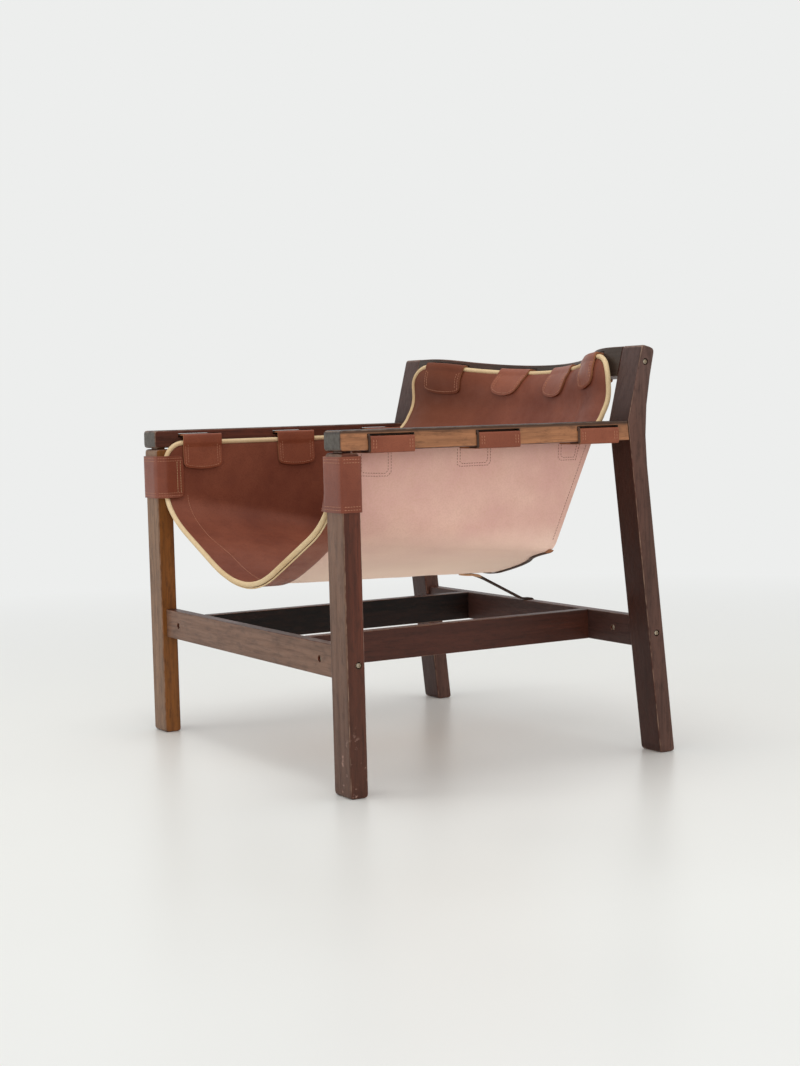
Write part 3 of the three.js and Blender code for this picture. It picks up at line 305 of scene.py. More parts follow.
for window in (
    ("front_window", (-1, -2.9, 1.0), CHAIR_MIDDLE, 1.1, 12, True),
    ("side_window", (3.3, -0.9, 0.9), CHAIR_MIDDLE, 1.7, 22, False),
    ("ceiling", (0.1, -0.2, 3.2), CHAIR_FOOT, 1.6, 30, True),
    ("floor_glow", (0.12, 0, 0.012), ABOVE_GLOW, 0.5, 0.3, False),
):
    soft_window(*window)

# %% [markdown]
# ## Oiled hardwood
#
# The frame is a dark, reddish hardwood with fine dark pores along the grain. Oil leaves it
# satin. Hands and feet have worn the corners pale, and the pale corners also carry a painted
# highlight on the rounded edges. The faces turned to the window get a grey brown painted sheen.
# The grain runs along each stick, so the noise is squeezed hard along that axis, and each
# stick's colours by facing and by height are laid over it: the wood's own tones, and painted
# sheen, painted reflection and painted shade.

# %% Hardwood finish
FRONTWARD = (0, -1, 0)
LEFTWARD = (1, 0, 0)
UPWARD = (0, 0, 1)
ALONG_X, ALONG_Y, ALONG_Z = 0, 1, 2
WOOD_DARK = srgb(58, 29, 19)
WOOD_RED = srgb(98, 51, 36)
WOOD_STAIN = srgb(44, 26, 18)
WOOD_STREAK = srgb(42, 24, 20)
WOOD_PORE = srgb(34, 20, 16)
# Pale corner colour: wear, and a painted highlight on the rounded edges.
WOOD_WEAR_AND_HIGHLIGHT = srgb(158, 130, 110)
WOOD_CHIP = srgb(186, 146, 130)
GRAIN_SQUEEZE, PORE_SQUEEZE, STAIN_SQUEEZE = 0.06, 0.02, 0.35
CORNER_SOFTNESS = 0.24
WOOD_SHINE = 0.24
WOOD_RELIEF = 0.0003


def hardwood(name, along, faces, heights=(), corner=0.82, scuffed=0):
    """Hardwood whose grain runs along one axis.

    faces lists (direction, colour, share), heights lists (none here, full here, colour, share).
    Corners turn pale, as wear and as a painted highlight, where a face turns from all three axes
    by more than corner allows, and pale chips lie below the height scuffed.
    """
    wood = Finish(name)

    def squeezed(share):
        return wood.place([share if axis == along else 1 for axis in range(3)])

    grain_place = squeezed(GRAIN_SQUEEZE)
    figure = wood.noise(grain_place, 38, 4, 0.6)
    streaks = wood.noise(grain_place, 170, 5, 0.65)
    pores = wood.noise(squeezed(PORE_SQUEEZE), 900, 2, 0.5)
    colour = wood.mix(wood.band(figure, 0.36, 0.64), WOOD_DARK, WOOD_RED)
    # Colours by facing direction: the wood's own tone on some faces, and painted sheen, painted reflection
    # and painted shade on others.
    for direction, face_colour, share in faces:
        turned = wood.band(wood.facing(direction), 0.6, 0.95, 0, share)
        patchy = wood.maths("MULTIPLY", turned, wood.band(figure, 0.25, 0.55, 0.7, 1))
        colour = wood.mix(patchy, colour, face_colour)
    height = wood.measure("Z")
    # Colours by height: darker bands, and a painted sheen high on the rear legs.
    for low, high, height_colour, share in heights:
        colour = wood.mix(wood.band(height, low, high, 0, share), colour, height_colour)
    stains = wood.noise(squeezed(STAIN_SQUEEZE), 130, 6, 0.7)
    colour = wood.mix(wood.band(stains, 0.5, 0.68, 0, 0.42), colour, WOOD_STAIN)
    colour = wood.mix(wood.band(streaks, 0.45, 0.7, 0, 0.4), colour, WOOD_STREAK)
    colour = wood.mix(wood.band(pores, 0.62, 0.72, 0, 0.55), colour, WOOD_PORE)
    axes = [wood.facing(axis) for axis in (LEFTWARD, FRONTWARD, UPWARD)]
    squares = [wood.maths("MULTIPLY", axis, axis) for axis in axes]
    flatness = wood.maths("MAXIMUM", wood.maths("MAXIMUM", squares[0], squares[1]), squares[2])
    # Pale corners: partly wear, partly a painted highlight.
    corner_wear_and_highlight = wood.band(flatness, corner, corner - CORNER_SOFTNESS, 0, 0.6)
    uneven = wood.maths("MULTIPLY", corner_wear_and_highlight, wood.band(wood.noise(wood.place(), 55, 4), 0.38, 0.6))
    colour = wood.mix(uneven, colour, WOOD_WEAR_AND_HIGHLIGHT)
    if scuffed:
        chips = wood.band(wood.noise(wood.place(), 64, 5, 0.7), 0.6, 0.645, 0, 0.7)
        low_down = wood.band(height, scuffed, scuffed / 3)
        colour = wood.mix(wood.maths("MULTIPLY", chips, low_down), colour, WOOD_CHIP)
    gloss = wood.band(streaks, 0.3, 0.7, 0.34, 0.5)
    wood.shader.inputs["Specular IOR Level"].default_value = WOOD_SHINE
    return wood.done(colour, gloss, wood.maths("SUBTRACT", streaks, pores), WOOD_RELIEF)


# Faces turned to the front window get a grey brown painted sheen.
FRONT_PAINTED_SHEEN = (FRONTWARD, srgb(128, 96, 76), 0.85)
# The arms' front ends get a grey painted reflection.
END_PAINTED_REFLECTION = (FRONTWARD, srgb(84, 82, 74), 0.9)
DARK_TOP = (UPWARD, srgb(46, 34, 29), 0.85)
# A darker band along the top of the left arm's outer face.
DARKER_UPPER_EDGE = (0.5165, 0.5195, srgb(44, 33, 28), 0.85)
# The front legs turn darker towards the foot.
DARKER_FOOT = (0.28, 0.04, srgb(80, 49, 37), 0.75)
# A pale painted sheen high on the rear legs.
UPPER_PAINTED_SHEEN = (0.5, 0.6, srgb(128, 104, 98), 0.22)
leg_finish = hardwood("leg_wood", ALONG_Z, [FRONT_PAINTED_SHEEN], [DARKER_FOOT], scuffed=0.11)
# The far front leg's front face gets a grey brown painted sheen, and its inner face the wood's own orange
# tone.
far_leg_finish = hardwood(
    "far_leg_wood", ALONG_Z, [(FRONTWARD, srgb(142, 108, 80), 0.85), (LEFTWARD, srgb(142, 88, 38), 0.85)])
# The rear legs' front faces are darker, and their side faces get a greyish painted sheen.
rear_leg_finish = hardwood(
    "rear_leg_wood", ALONG_Z,
    [(FRONTWARD, srgb(48, 24, 17), 0.85), (LEFTWARD, srgb(96, 70, 60), 0.7)], [UPPER_PAINTED_SHEEN])
arm_finish = hardwood("arm_wood", ALONG_Y, [END_PAINTED_REFLECTION, DARK_TOP])
near_arm_finish = hardwood(
    "near_arm_wood", ALONG_Y, [(LEFTWARD, srgb(178, 122, 84), 0.9), END_PAINTED_REFLECTION, DARK_TOP], [DARKER_UPPER_EDGE])
side_rail_finish = hardwood("side_rail_wood", ALONG_Y, [(LEFTWARD, srgb(60, 33, 26), 0.6)])
# The far rail's inner face is painted nearly black: painted shade.
far_rail_painted_shade_finish = hardwood("far_rail_painted_shade_wood", ALONG_Y, [(LEFTWARD, srgb(14, 8, 6), 1)])
front_stretcher_finish = hardwood("front_stretcher_wood", ALONG_X, [FRONT_PAINTED_SHEEN])
# The rear stretcher's front face, under the seat, is painted darker and greyer: painted shade.
rear_stretcher_painted_shade_finish = hardwood(
    "rear_stretcher_painted_shade_wood", ALONG_X, [(FRONTWARD, srgb(56, 44, 42), 0.7)])
back_rail_finish = hardwood(
    "back_rail_wood", ALONG_X, [(FRONTWARD, srgb(52, 47, 39), 0.85)], corner=0.6)
print("hardwood finishes:", [m.name for m in bpy.data.materials if m.name.endswith("_wood")])

# %% [markdown]
# ## The frame's sticks
#
# The sticks are exact in the CAD model, so their shapes are copied, joined up where the copy
# has loose triangles, and only dressed: slot and bore edges are eased by about half a millimetre, as
# sandpaper would, and the shading of the flat faces is kept flat beside the rounded corners.

# %% Sticks
MERGE_REACH = 0.00001
STICK_EASE = 0.0006
SHARP_ANGLE = math.radians(60)
FLAT_ANGLE = math.radians(0.5)


def add_piece(name, shape, finishes, solids=()):
    """Turns a bmesh into a piece of the chair, in place of the named solids."""
    mesh = bpy.data.meshes.new(name)
    shape.to_mesh(mesh)
    shape.free()
    for finish in finishes:
        mesh.materials.append(finish)
    mesh.shade_smooth()
    piece = bpy.data.objects.new(name, mesh)
    bpy.context.scene.collection.objects.link(piece)
    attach(piece, "root")
    if solids:
        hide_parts(*solids)
    return piece


def ease_edges(piece, width):
    """Rounds a piece's sharp edges by a width in metres."""
    eased = piece.modifiers.new("eased_edges", "BEVEL")
    eased.width = width
    eased.segments = 2
    eased.limit_method = "ANGLE"
    eased.angle_limit = SHARP_ANGLE


def dress_stick(node, finish):
    """A copy of a stick's solid, merged, eased and finished."""
    shape = bmesh.new()
    shape.from_mesh(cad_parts[node].data)
    for loops in list(shape.loops.layers.uv.values()):
        shape.loops.layers.uv.remove(loops)
    bmesh.ops.remove_doubles(shape, verts=shape.verts, dist=MERGE_REACH)
    bmesh.ops.dissolve_limit(shape, angle_limit=FLAT_ANGLE, verts=shape.verts, edges=shape.edges)
    for face in shape.faces:
        face.material_index = 0
    stick = add_piece(node + "_stick", shape, [finish], [node])
    ease_edges(stick, STICK_EASE)
    stick.modifiers.new("flat_faces", "WEIGHTED_NORMAL")


STICKS = {
    "front_leg_left": leg_finish,
    "front_leg_right": far_leg_finish,
    "rear_leg_left": rear_leg_finish,
    "rear_leg_right": rear_leg_finish,
    "arm_left": near_arm_finish,
    "arm_right": arm_finish,
    "side_rail_left": side_rail_finish,
    "side_rail_right": far_rail_painted_shade_finish,
    "front_stretcher": front_stretcher_finish,
    "rear_stretcher": rear_stretcher_painted_shade_finish,
    "back_rail": back_rail_finish,
}
for stick_node, stick_finish in STICKS.items():
    dress_stick(stick_node, stick_finish)
print("sticks:", len(STICKS))

# %% [markdown]
# ## Bolts and plain hardware
#
# Six socket bolts pull the frame together from outside the legs. Each head sits sunk in the
# wood and shows as a dull brassy ring around a dark six-sided socket. The barrel nuts, the
# tie strap's screw and the dowels are simple, so the solids themselves take a finish.

# %% Bolts
HEAD_RADIUS = 5
HEAD_DEPTH = 6
SOCKET_RADIUS = 3.1
SOCKET_DEPTH = 3
HEAD_EASE = 0.6
HEAD_SIDES = 24
RING_INSET = 0.3
SIXTH_TURN = math.pi / 3
CREASE_ANGLE = math.radians(35)

tarnish_colours = (srgb(210, 196, 174), srgb(152, 136, 114))
brassy = speckled("brassy_steel", 420, 4, tarnish_colours, (0.3, 0.5), 0.00005, spread=(0.35, 0.7))
brassy.shader.inputs["Metallic"].default_value = 0.25
beech_colours = (srgb(172, 130, 86), srgb(198, 160, 112))
beech = speckled("beech_dowel", 300, 4, beech_colours, (0.6, 0.75), 0.0001, stretch=(0.1, 1, 1))


def socket_bolt(node):
    """A socket bolt head whose face looks outward, away from the chair's middle."""
    low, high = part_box(node)
    side = 1 if low.x > 0 else -1
    face_x = high.x if side > 0 else low.x
    shape = bmesh.new()
    bmesh.ops.create_circle(shape, cap_ends=True, segments=HEAD_SIDES, radius=HEAD_RADIUS - HEAD_EASE)
    top = shape.faces[:][0]
    bmesh.ops.inset_region(shape, faces=[top], thickness=RING_INSET, use_even_offset=True)
    for vert in top.verts:
        angle = math.atan2(vert.co.y, vert.co.x)
        sixth = (angle + SIXTH_TURN / 2) % SIXTH_TURN - SIXTH_TURN / 2
        reach = SOCKET_RADIUS * math.cos(SIXTH_TURN / 2) / math.cos(sixth)
        vert.co = Vector((math.cos(angle), math.sin(angle), 0)) * reach
    floor_face = bmesh.ops.extrude_face_region(shape, geom=[top])["geom"]
    shape.faces.remove(top)
    for vert in [part for part in floor_face if isinstance(part, bmesh.types.BMVert)]:
        vert.co.z -= SOCKET_DEPTH
    for outset, drop in ((HEAD_EASE, HEAD_EASE), (0, HEAD_DEPTH)):
        edges = [edge for edge in shape.edges if edge.is_boundary]
        ring = bmesh.ops.extrude_edge_only(shape, edges=edges)["geom"]
        for vert in [part for part in ring if isinstance(part, bmesh.types.BMVert)]:
            outward = Vector((vert.co.x, vert.co.y, 0)).normalized()
            vert.co += outward * outset
            vert.co.z = -drop
    bmesh.ops.holes_fill(shape, edges=[edge for edge in shape.edges if edge.is_boundary])
    bmesh.ops.recalc_face_normals(shape, faces=shape.faces)
    middle = Vector((face_x * 1000, (low.y + high.y) * 500, (low.z + high.z) * 500))
    turn_out = Matrix.Rotation(side * math.pi / 2, 4, "Y")
    bmesh.ops.transform(shape, matrix=Matrix.Translation(middle) @ turn_out, verts=shape.verts)
    bmesh.ops.scale(shape, vec=(0.001, 0.001, 0.001), verts=shape.verts)
    bolt = add_piece(node + "_head", shape, [brassy.material], [node])
    bolt.data.set_sharp_from_angle(angle=CREASE_ANGLE)


for node_name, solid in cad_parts.items():
    if node_name.startswith("bolt_"):
        socket_bolt(node_name)
    elif node_name.startswith(("barrel_nut_", "tie_screw")):
        solid.data.materials.clear()
        solid.data.materials.append(brassy.material)
    elif node_name.startswith("dowel_"):
        solid.data.materials.clear()
        solid.data.materials.append(beech.material)

# %% [markdown]
# ## Saddle leather
#
# Saddle leather is thick hide with two faces. The grain side, turned to the sitter, is dyed a
# cloudy red brown and scuffed by use. The flesh side outside is undyed, pale pink and fibrous. A
# cut edge shows the tan core. Straps are the same hide, a little lighter and smoother, the bands
# around the legs are glossier, and the piping is a rolled strip of cream leather. All of them are
# one network with different dyes. The back hide gets a painted shade that takes it to a deeper
# brown towards its far end, and the flesh side gets paler towards the floor as painted light
# that lifts the shade under the seat.

# %% Leather finishes
PEBBLE_DEPTH = 0.0001
THREAD_DEPTH = 0.0001


def leather(name, dyes, gloss, shine, pebble=620):
    """Leather with cloudy dye between a deep and a fair tone, dark creases, and a pebbled skin."""
    deep, fair, dark = [srgb(*dye) for dye in dyes]
    hide = Finish(name)
    spot = hide.place()
    clouds = hide.noise(spot, 9, 4, 0.6)
    patches = hide.noise(spot, 46, 4, 0.6)
    skin = hide.cells(spot, pebble)
    fine = hide.noise(spot, 900, 3)
    scuffs = hide.noise(hide.place((1, 0.25, 1)), 130, 5, 0.7)
    colour = hide.mix(hide.band(clouds, 0.34, 0.66), deep, fair)
    colour = hide.mix(hide.band(patches, 0.5, 0.75, 0, 0.22), colour, dark)
    colour = hide.mix(hide.band(scuffs, 0.62, 0.74, 0, 0.22), colour, fair)
    colour = hide.mix(hide.band(skin, 0.35, 0.8, 0, 0.3), colour, dark)
    roughness = hide.band(patches, 0.3, 0.7, gloss - 0.06, gloss + 0.08)
    hide.shader.inputs["Specular IOR Level"].default_value = shine
    relief = hide.maths("SUBTRACT", hide.maths("MULTIPLY", fine, 0.35), skin)
    hide.done(colour, roughness, relief, PEBBLE_DEPTH)
    return hide


def fade_dye_and_painted_light(hide, axis, none_at, full_at, colour, share):
    """Carries a leather's colour to another along one axis of the chair, for a real change of dye and for
    painted light and shade. Gives its material.
    """
    base = hide.shader.inputs["Base Color"]
    dyed = base.links[0].from_socket
    faded = hide.band(hide.measure(axis), none_at, full_at, 0, share)
    hide.feed(base, hide.mix(faded, dyed, colour))
    return hide.material


GRAIN_DYES = ((113, 58, 41), (135, 75, 54), (86, 41, 28))
FLESH_DYES = ((216, 168, 157), (229, 188, 171), (206, 161, 140))
EDGE_DYES = ((150, 96, 66), (172, 118, 84), (104, 60, 42))
STRAP_DYES = ((130, 68, 46), (147, 82, 57), (99, 46, 30))
BAND_DYES = ((118, 59, 40), (136, 73, 51), (92, 42, 28))
DARK_DYES = ((66, 44, 34), (90, 62, 48), (44, 28, 22))
PIPING_DYES = ((212, 182, 138), (228, 204, 164), (182, 148, 106))

grain_leather = leather("grain_leather", GRAIN_DYES, 0.5, 0.18).material
# The back hide turns darker towards its far end: painted shade.
back_leather_painted_shade = fade_dye_and_painted_light(
    leather("back_leather_painted_shade", GRAIN_DYES, 0.5, 0.18), "X", -0.05, -0.24, srgb(92, 44, 18), 0.65)
# The flesh side turns paler towards the floor: painted light.
flesh_leather = fade_dye_and_painted_light(
    leather("flesh_leather", FLESH_DYES, 0.85, 0.2, 380), "Z", 0.37, 0.29, srgb(252, 226, 206), 0.85)
edge_leather = leather("edge_leather", EDGE_DYES, 0.7, 0.2).material
strap_leather = leather("strap_leather", STRAP_DYES, 0.4, 0.3).material
band_leather = leather("band_leather", BAND_DYES, 0.36, 0.3).material
dark_leather = leather("dark_leather", DARK_DYES, 0.5, 0.3).material
piping_leather = leather("piping_leather", PIPING_DYES, 0.65, 0.2).material


def waxed_thread(name, shade, colour):
    return speckled(name, 1400, 2, (srgb(*shade), srgb(*colour)), (0.5, 0.7), THREAD_DEPTH).material


cream_thread = waxed_thread("cream_thread", (176, 140, 98), (226, 196, 150))
brown_thread = waxed_thread("brown_thread", (104, 62, 50), (142, 92, 76))
tan_thread = waxed_thread("tan_thread", (164, 108, 80), (204, 146, 112))
print("leathers:", [m.name for m in bpy.data.materials if "leather" in m.name])

# %% [markdown]
# ## The lines that the back follows
#
# The back hangs from a rail that bows backwards and leans with the rear legs, so every place
# on it is found from that bow. A cloth simulation could drape it, but the photograph shows the
# leather already hung, so a formula with a few named lengths can follow it more closely.

# %% Rail and back surface
INNER_HALF = 307
ARM_TOP = 523
RAKE = math.radians(14.5)
KINK_FRONT = 502.7
RAIL_TOP = 639
RAIL_SETBACK = 0.5
RAIL_FRONT = KINK_FRONT + (RAIL_TOP - ARM_TOP) * math.tan(RAKE) + RAIL_SETBACK
RAIL_BOW = 81
RAIL_END_RADIUS = 140
RAIL_STRAIGHT_END = 29
BOW_START = INNER_HALF - RAIL_STRAIGHT_END
BOW_ANGLE = 2 * math.atan2(RAIL_BOW, BOW_START)
BOW_RADIUS = BOW_START / math.sin(BOW_ANGLE) - RAIL_END_RADIUS
BOW_TURN = BOW_RADIUS * math.sin(BOW_ANGLE)
BACK_OUT = 5.95
BACK_STRAIGHT = 110
BACK_PULL = 18
BACK_PULL_REACH = 55
BACK_SLOPE = 0.12
WAVE_START = 10
BACK_WAVE = 5
BACK_SLACK = 24
SLACK_START, SLACK_REACH = 12, 90
SLACK_END, SLACK_FADE = 330, 200
SEAM_BOTTOM = 269.5
DROP_STEPS = 10


def bow_at(x):
    """How far the rail's front face has bowed back at x, and its slope there."""
    far = abs(x)
    if far >= BOW_START:
        return 0, 0
    if far <= BOW_TURN:
        height = math.sqrt(BOW_RADIUS ** 2 - far ** 2)
        return RAIL_BOW - BOW_RADIUS + height, -x / height
    left = BOW_START - far
    height = math.sqrt(RAIL_END_RADIUS ** 2 - left ** 2)
    return RAIL_END_RADIUS - height, -math.copysign(left, x) / height


def on_rail(x, depth, rise):
    """A place on the rail: x along it, depth behind its front face, rise above its top edge."""
    bow, slope = bow_at(x)
    length = math.hypot(1, slope)
    behind = bow + depth / length
    return Vector((
        x - depth * slope / length,
        RAIL_FRONT + behind * math.cos(RAKE) + rise * math.sin(RAKE),
        RAIL_TOP - behind * math.sin(RAKE) + rise * math.cos(RAKE),
    ))


def fade(value, reach):
    """0 at an edge, rising softly to 1 within reach of it."""
    share = min(max(value / reach, 0), 1)
    return share * share * (3 - 2 * share)


def on_back(x, drop):
    """The back leather's middle surface, drawn forward more the lower it hangs."""
    below = drop - BACK_STRAIGHT
    draw = BACK_PULL * fade(below, BACK_PULL_REACH) + BACK_SLOPE * max(below, 0)
    wave = min(max(drop - WAVE_START, 0) / (BACK_STRAIGHT - WAVE_START), 1)
    draw += BACK_WAVE * math.sin(2 * math.pi * wave)
    slack = math.sin(math.pi / 2 * min(max(drop - SLACK_START, 0) / SLACK_REACH, 1))
    slack *= fade(SLACK_END - drop, SLACK_FADE) * (bow_at(x)[0] / RAIL_BOW) ** 2
    draw += BACK_SLACK * slack
    return on_rail(x, -BACK_OUT, -drop) + Vector((0, -draw * math.cos(RAKE), draw * math.sin(RAKE)))


@functools.cache
def drop_at_height(x, z):
    """How far down the back a height lies, found by stepping towards it."""
    drop = 0
    for _ in range(DROP_STEPS):
        drop += (on_back(x, drop).z - z) / math.cos(RAKE)
    return drop


def back_at_height(x, z):
    return on_back(x, drop_at_height(x, z))


print("rail middle", on_rail(0, 0, 0), "back foot", back_at_height(0, SEAM_BOTTOM))

# %% [markdown]
# ## The lines that the seat follows
#
# The seat's shape is drawn by two cross sections, one at its front edge and one at the seam with
# the back, and straight lines joining them: leather bends one way easily but hardly stretches,
# so a surface of straight lines is how it really hangs. Each half of a section is a soft bottom,
# a slope, a knuckle and a wall that rises to the arm. The front edge has settled differently on
# the left and on the right, so each side has its own half there.

# %% Seat surface
SLING_GAP = 5.55
SLING_X = INNER_HALF - SLING_GAP
RIM_Z = 496.5
SEAT_FRONT = 19
SEAT_CORNER = 30
SEAT_BOTTOM = 280
SEAM_KNUCKLE_GAP = 22
CROWN_END, SLOPE_END, KNUCKLE_END = 0.19, 0.6, 0.78
SURFACE_STEP = 0.004
LONG_RIPPLE, SHORT_RIPPLE = 75, 34
RIPPLE_HEIGHT = 1.1


def soft_corner(start, corner, end, share):
    """A place on the curve from start to end that leans towards the corner between them."""
    return start.lerp(corner, share).lerp(corner.lerp(end, share), share)


def half_section(bottom, knuckle_x, knuckle_rise, crown_run, slope_run, wall_run):
    """Half a trough section as a function of a share: crown, slope, knuckle, then wall to the rim."""
    slope = knuckle_rise / (knuckle_x - crown_run / 2)
    crown_tip = Vector((crown_run, bottom + slope * crown_run / 2))
    knuckle = Vector((knuckle_x, bottom + knuckle_rise))
    rim = Vector((SLING_X, RIM_Z))
    enter = knuckle + (crown_tip - knuckle).normalized() * slope_run
    leave = knuckle + (rim - knuckle).normalized() * wall_run
    low = Vector((0, bottom))
    crown_corner = Vector((crown_run / 2, bottom))

    def spot(share):
        if share < CROWN_END:
            return soft_corner(low, crown_corner, crown_tip, share / CROWN_END)
        if share < SLOPE_END:
            return crown_tip.lerp(enter, (share - CROWN_END) / (SLOPE_END - CROWN_END))
        if share < KNUCKLE_END:
            return soft_corner(enter, knuckle, leave, (share - SLOPE_END) / (KNUCKLE_END - SLOPE_END))
        return leave.lerp(rim, (share - KNUCKLE_END) / (1 - KNUCKLE_END))

    return spot


left_front = half_section(
    SEAT_BOTTOM, SLING_X, knuckle_rise=118, crown_run=101, slope_run=88, wall_run=66)
right_front = half_section(
    SEAT_BOTTOM, SLING_X, knuckle_rise=102, crown_run=117, slope_run=95, wall_run=36)
rear_section = half_section(
    SEAM_BOTTOM, INNER_HALF - SEAM_KNUCKLE_GAP, knuckle_rise=58, crown_run=40, slope_run=14, wall_run=14)


@functools.cache
def seat_line(share, side=1):
    """The two ends of the seat's straight line at a share of the half section on one side."""
    front = left_front(share) if side > 0 else right_front(share)
    rear = rear_section(share)
    return Vector((front.x, SEAT_FRONT, front.y)), back_at_height(rear.x, rear.y)


def rim_height(y):
    """The height of the seat's rim, which is rounded off at the front corners."""
    short = min(max(SEAT_CORNER - (y - SEAT_FRONT), 0), SEAT_CORNER)
    return RIM_Z - SEAT_CORNER + math.sqrt(SEAT_CORNER ** 2 - short ** 2)


def bare_seat(across, along):
    """The seat's middle surface: across from -1 to 1 between the rims, along from 0 at the front."""
    share = min(abs(across), 1)
    side = 1 if across > 0 else -1
    front, rear = seat_line(share, side)
    place = front.lerp(rear, along)
    if share > KNUCKLE_END:
        foot_front, foot_rear = seat_line(KNUCKLE_END, side)
        foot = foot_front.lerp(foot_rear, along).z
        place.z = foot + (rim_height(place.y) - foot) * (share - KNUCKLE_END) / (1 - KNUCKLE_END)
    place.x *= side
    return place


def on_seat(across, along, lift=0):
    """A place on the seat, lifted from its middle surface towards the sitter."""
    place = bare_seat(across, along)
    run = bare_seat(across + SURFACE_STEP, along) - bare_seat(across - SURFACE_STEP, along)
    climb = bare_seat(across, along + SURFACE_STEP) - bare_seat(across, along - SURFACE_STEP)
    wave = noise.noise(place / LONG_RIPPLE)
    wave += 0.5 * noise.noise(place / SHORT_RIPPLE + Vector((7, 3, 1)))
    wave *= RIPPLE_HEIGHT * fade(1 - abs(across), 0.25) * fade(along, 0.1) * fade(1 - along, 0.12)
    return place + run.cross(climb).normalized() * (lift + wave)


print("seat depth", (seat_line(0)[1] - seat_line(0)[0]).length, "mm at the bottom")

# %% [markdown]
# ## The seat hide
#
# A hide starts as a flat grid, is moved point by point onto its hanging shape, and gets its
# thickness from a Solidify modifier. That modifier also gives the outer face and the cut rim
# their own leathers, as on a real hide. The rows lie closer together at the front, where the
# edge shows most.

# %% Seat hide
SLING_THICK = 3.5
SEAM_MARGIN = 9
SEAT_LENGTH = 440
SEAT_END = 1 + SEAM_MARGIN / SEAT_LENGTH
FRONT_CROWDING = 0.6
RIM_EASE = 0.25


def shaped_grid(columns, rows, place):
    """A flat grid moved to place(u, v) in millimetres, u and v running from 0 to 1."""
    shape = bmesh.new()
    bmesh.ops.create_grid(shape, x_segments=columns, y_segments=rows, size=1)
    for vert in shape.verts:
        vert.co = row(*place((vert.co.x + 1) / 2, (vert.co.y + 1) / 2))
    return shape


def leather_sheet(name, shape, finishes, thickness, solids=()):
    """A thin leather piece: grain side, flesh side and cut rim."""
    piece = add_piece(name, shape, finishes, solids)
    skin = piece.modifiers.new("thickness", "SOLIDIFY")
    skin.thickness = thickness / 1000
    skin.offset = 0
    skin.use_even_offset = True
    skin.material_offset = 1
    skin.material_offset_rim = 2
    ease_edges(piece, thickness * RIM_EASE / 1000)
    return piece


def hide_area(piece):
    """The hide's own area, before it gets its thickness."""
    return sum(face.area for face in piece.data.polygons)


def seat_place(u, v):
    along = (1 - FRONT_CROWDING) * v + FRONT_CROWDING * v * v
    return on_seat(2 * u - 1, along * SEAT_END)


seat_hide = leather_sheet(
    "seat_hide", shaped_grid(150, 70, seat_place),
    [grain_leather, flesh_leather, edge_leather], SLING_THICK, ["seat_sling"])
print("seat hide", round(hide_area(seat_hide), 4), "square metres")

# %% [markdown]
# ## The back hide
#
# The back is sewn to the seat along its foot and up the seat's walls, and comes free of them a
# little below the arms. The grid's own edge follows that outline and the rounded top corners, so
# nothing has to be cut away afterwards.

# %% Back hide
SEWN_GAP = 0.1
SEAM_INSET = SLING_THICK / 2 + SEWN_GAP
BACK_PIPING_DROP = 17.5
BACK_EDGE_DROP = 4
BACK_TOP_DROP = BACK_PIPING_DROP + BACK_EDGE_DROP
BACK_EDGE_GAP = 16
BACK_EDGE_X = INNER_HALF - BACK_EDGE_GAP
BACK_CORNER = 34
BACK_NECK = 45
BACK_NECK_DROP = 62
FOOT_STEP = 0.002
BACK_RIPPLE = 80
BACK_RIPPLE_HEIGHT = 0.9


def back_foot(share):
    """The back's bottom edge, a little inside the seat's rear section."""
    run = rear_section(share + FOOT_STEP) - rear_section(max(share - FOOT_STEP, 0))
    return rear_section(share) + Vector((-run.y, run.x)).normalized() * SEAM_INSET


FOOT_END = back_foot(KNUCKLE_END)


def back_half_width(z):
    """Half the back's width: sewn to the seat's walls below, free inside them near the rims."""
    share = min(max((z - FOOT_END.y) / (RIM_Z - FOOT_END.y), 0), 1)
    sewn_x = FOOT_END.x + (SLING_X - SEAM_INSET - FOOT_END.x) * share
    return sewn_x + (BACK_EDGE_X - sewn_x) * fade(z - RIM_Z + BACK_NECK_DROP, BACK_NECK)


def bare_panel(across, rise):
    """x and drop on the back: across from -1 to 1, rise from 0 at the seam to 1 at the top."""
    share = min(abs(across), 1)
    foot = back_foot(share * KNUCKLE_END)
    part = foot.x / FOOT_END.x
    short = max(BACK_CORNER - (1 - part) * BACK_EDGE_X, 0)
    drop = BACK_TOP_DROP + BACK_CORNER - math.sqrt(BACK_CORNER ** 2 - short ** 2)
    top = on_back(part * BACK_EDGE_X, drop).z
    z = foot.y + (top - foot.y) * rise
    x = math.copysign(part * back_half_width(z), across)
    return x, drop_at_height(x, z)


def on_panel(across, rise, lift=0):
    """A place on the back, lifted from its middle surface towards the sitter."""
    x, drop = bare_panel(across, rise)
    place = on_back(x, drop)
    run = on_back(x + 1, drop) - on_back(x - 1, drop)
    climb = on_back(x, drop - 1) - on_back(x, drop + 1)
    wave = noise.noise(place / BACK_RIPPLE + Vector((2, 9, 4))) * BACK_RIPPLE_HEIGHT
    wave *= fade(1 - abs(across), 0.2) * fade(rise, 0.1) * fade(1 - rise, 0.4)
    return place + run.cross(climb).normalized() * (lift + wave)


back_hide = leather_sheet(
    "back_hide", shaped_grid(120, 60, lambda u, v: on_panel(2 * u - 1, v)),
    [back_leather_painted_shade, flesh_leather, edge_leather], SLING_THICK, ["back_sling"])
print("back hide", round(hide_area(back_hide), 4), "square metres")

# %% [markdown]
# ## The seam strip
#
# Seat and back are sewn together along the seat's rear end. Under that end lies a dark strip that
# takes the stitches, and its edge shows as a dark line along the bottom of the sling. At its two
# ends the strip has frayed to the tan core, so a ragged end piece is made there with noise.

